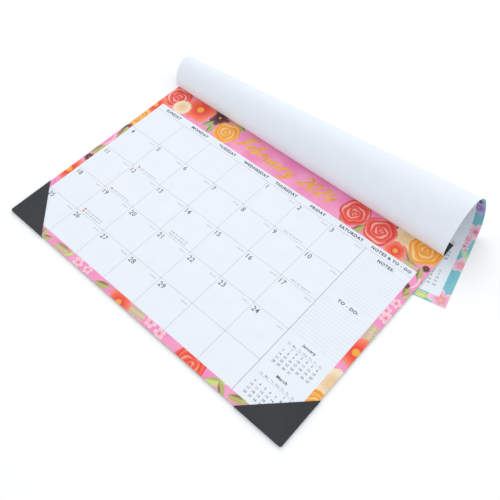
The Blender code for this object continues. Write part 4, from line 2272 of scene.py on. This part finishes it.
    def fold_ends(
        self,
        fold: tuple[float, float],
        back: tuple[float, float],
        front: Optional[tuple[float, float]],
    ) -> Array:
        """Where a fold's bend starts and ends, square to the fold at the sheet's middle.

        The bend keeps inside the zone's lines at the left side, where they are closest.

        Args:
            fold: the fold's Y at the two sides.
            back: the zone's back line.
            front: its front line, or None for the last fold, which bends evenly.

        Returns:
            Two points in the row frame.
        """
        before = 0.88 * (back[0] - fold[0])
        beyond = before if front is None else 0.88 * (fold[0] - front[0])
        along = np.array([SHEET_WIDTH, fold[1] - fold[0]])
        square = np.array([-along[1], along[0]]) / np.hypot(*along)
        centre = np.array([0.0, (fold[0] + fold[1]) / 2])
        spots = np.stack([centre + square * before, centre - square * beyond])
        return self.roll.place(spots[:, 0], spots[:, 1], -LEAF_THICKNESS / 2)

    def build(self) -> None:
        """Builds every piece in order."""
        self.dress_frame()
        self.build_bound_edge()
        self.build_lower_leaves()
        self.build_february()
        self.build_january()


# ---------------------------------------------------------------- the studio


@dataclass
class Studio:
    """The floor, the light and the camera."""

    floor_size: float = 6.0
    floor_glow: float = 0.06
    sky: float = 0.80

    def clear(self) -> None:
        """Removes what Blender starts with."""
        for name in ("Cube", "Light", "Camera"):
            found = bpy.data.objects.get(name)
            if found is not None:
                bpy.data.objects.remove(found, do_unlink=True)

    def build_floor(self) -> None:
        """A pale floor under the calendar, faintly uneven."""
        half = self.floor_size / 2
        points = np.array(
            [(-half, -half, 0), (half, -half, 0), (half, half, 0), (-half, half, 0)]
        )
        material, bench, shader = new_finish("pale_floor")
        place = bench.add("ShaderNodeTexCoord").outputs["Object"]
        noise = bench.add("ShaderNodeTexNoise", Scale=2.0)
        bench.join(place, noise.inputs["Vector"])
        tone = bench.mix(noise.outputs["Fac"], (0.98, 0.98, 0.98, 1), (0.99, 0.99, 0.99, 1))
        bench.join(tone, shader.inputs["Base Color"])
        shader.inputs["Roughness"].default_value = 0.9
        shader.inputs["Specular IOR Level"].default_value = 0.1
        shader.inputs["Emission Color"].default_value = (1, 1, 1, 1)
        shader.inputs["Emission Strength"].default_value = self.floor_glow
        floor = new_piece("floor", points - [0, 0, 0.0002], np.array([[0, 1, 2, 3]]), material)

    def build_light(self) -> None:
        """An even white sky and three soft panels."""
        world = bpy.data.worlds.new("studio")
        bpy.context.scene.world = world
        world.use_nodes = True
        back = world.node_tree.nodes["Background"]
        back.inputs["Color"].default_value = (0.97, 0.985, 1.0, 1)
        back.inputs["Strength"].default_value = self.sky
        for name, place, power, size in (
            ("key_panel", (-0.9, 1.1, 1.9), 12.5, 1.6),
            ("fill_panel", (1.5, -1.2, 1.6), 3.0, 1.8),
            ("side_panel", (1.6, 1.0, 1.2), 3.0, 1.2),
        ):
            data = bpy.data.lights.new(name, "AREA")
            data.energy = power
            data.size = size
            lamp = bpy.data.objects.new(name, data)
            lamp.location = place
            away = Vector(place) - Vector((0, -0.15, 0))
            lamp.rotation_euler = away.to_track_quat("Z", "Y").to_euler()
            bpy.context.scene.collection.objects.link(lamp)

    def build_camera(self) -> None:
        """The camera, above the calendar's right front corner."""
        data = bpy.data.cameras.new("camera")
        data.lens = 44.39
        data.sensor_width = 36.0
        data.clip_start = 0.01
        camera = bpy.data.objects.new("camera", data)
        ahead = Vector((-0.3851, 0.3934, -0.8349)).normalized()
        right = Vector((0.7422, 0.6696, -0.0268))
        right = (right - ahead * right.dot(ahead)).normalized()
        above = right.cross(ahead)
        matrix = Matrix((right, above, -ahead)).transposed().to_4x4()
        matrix.translation = Vector((0.31808, -0.43753, 0.59754))
        camera.matrix_world = matrix
        bpy.context.scene.collection.objects.link(camera)
        bpy.context.scene.camera = camera

    def build(self) -> None:
        """Builds the studio."""
        self.build_floor()
        self.build_light()
        self.build_camera()
        bpy.context.scene.view_settings.view_transform = "Standard"


def main() -> None:
    """Builds the scene round the frame."""
    logging.basicConfig(level=logging.INFO, format="%(name)s %(message)s")
    studio = Studio()
    studio.clear()
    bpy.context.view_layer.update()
    DeskCalendar(Finishes()).build()
    studio.build()


if __name__ == "__main__":
    main()
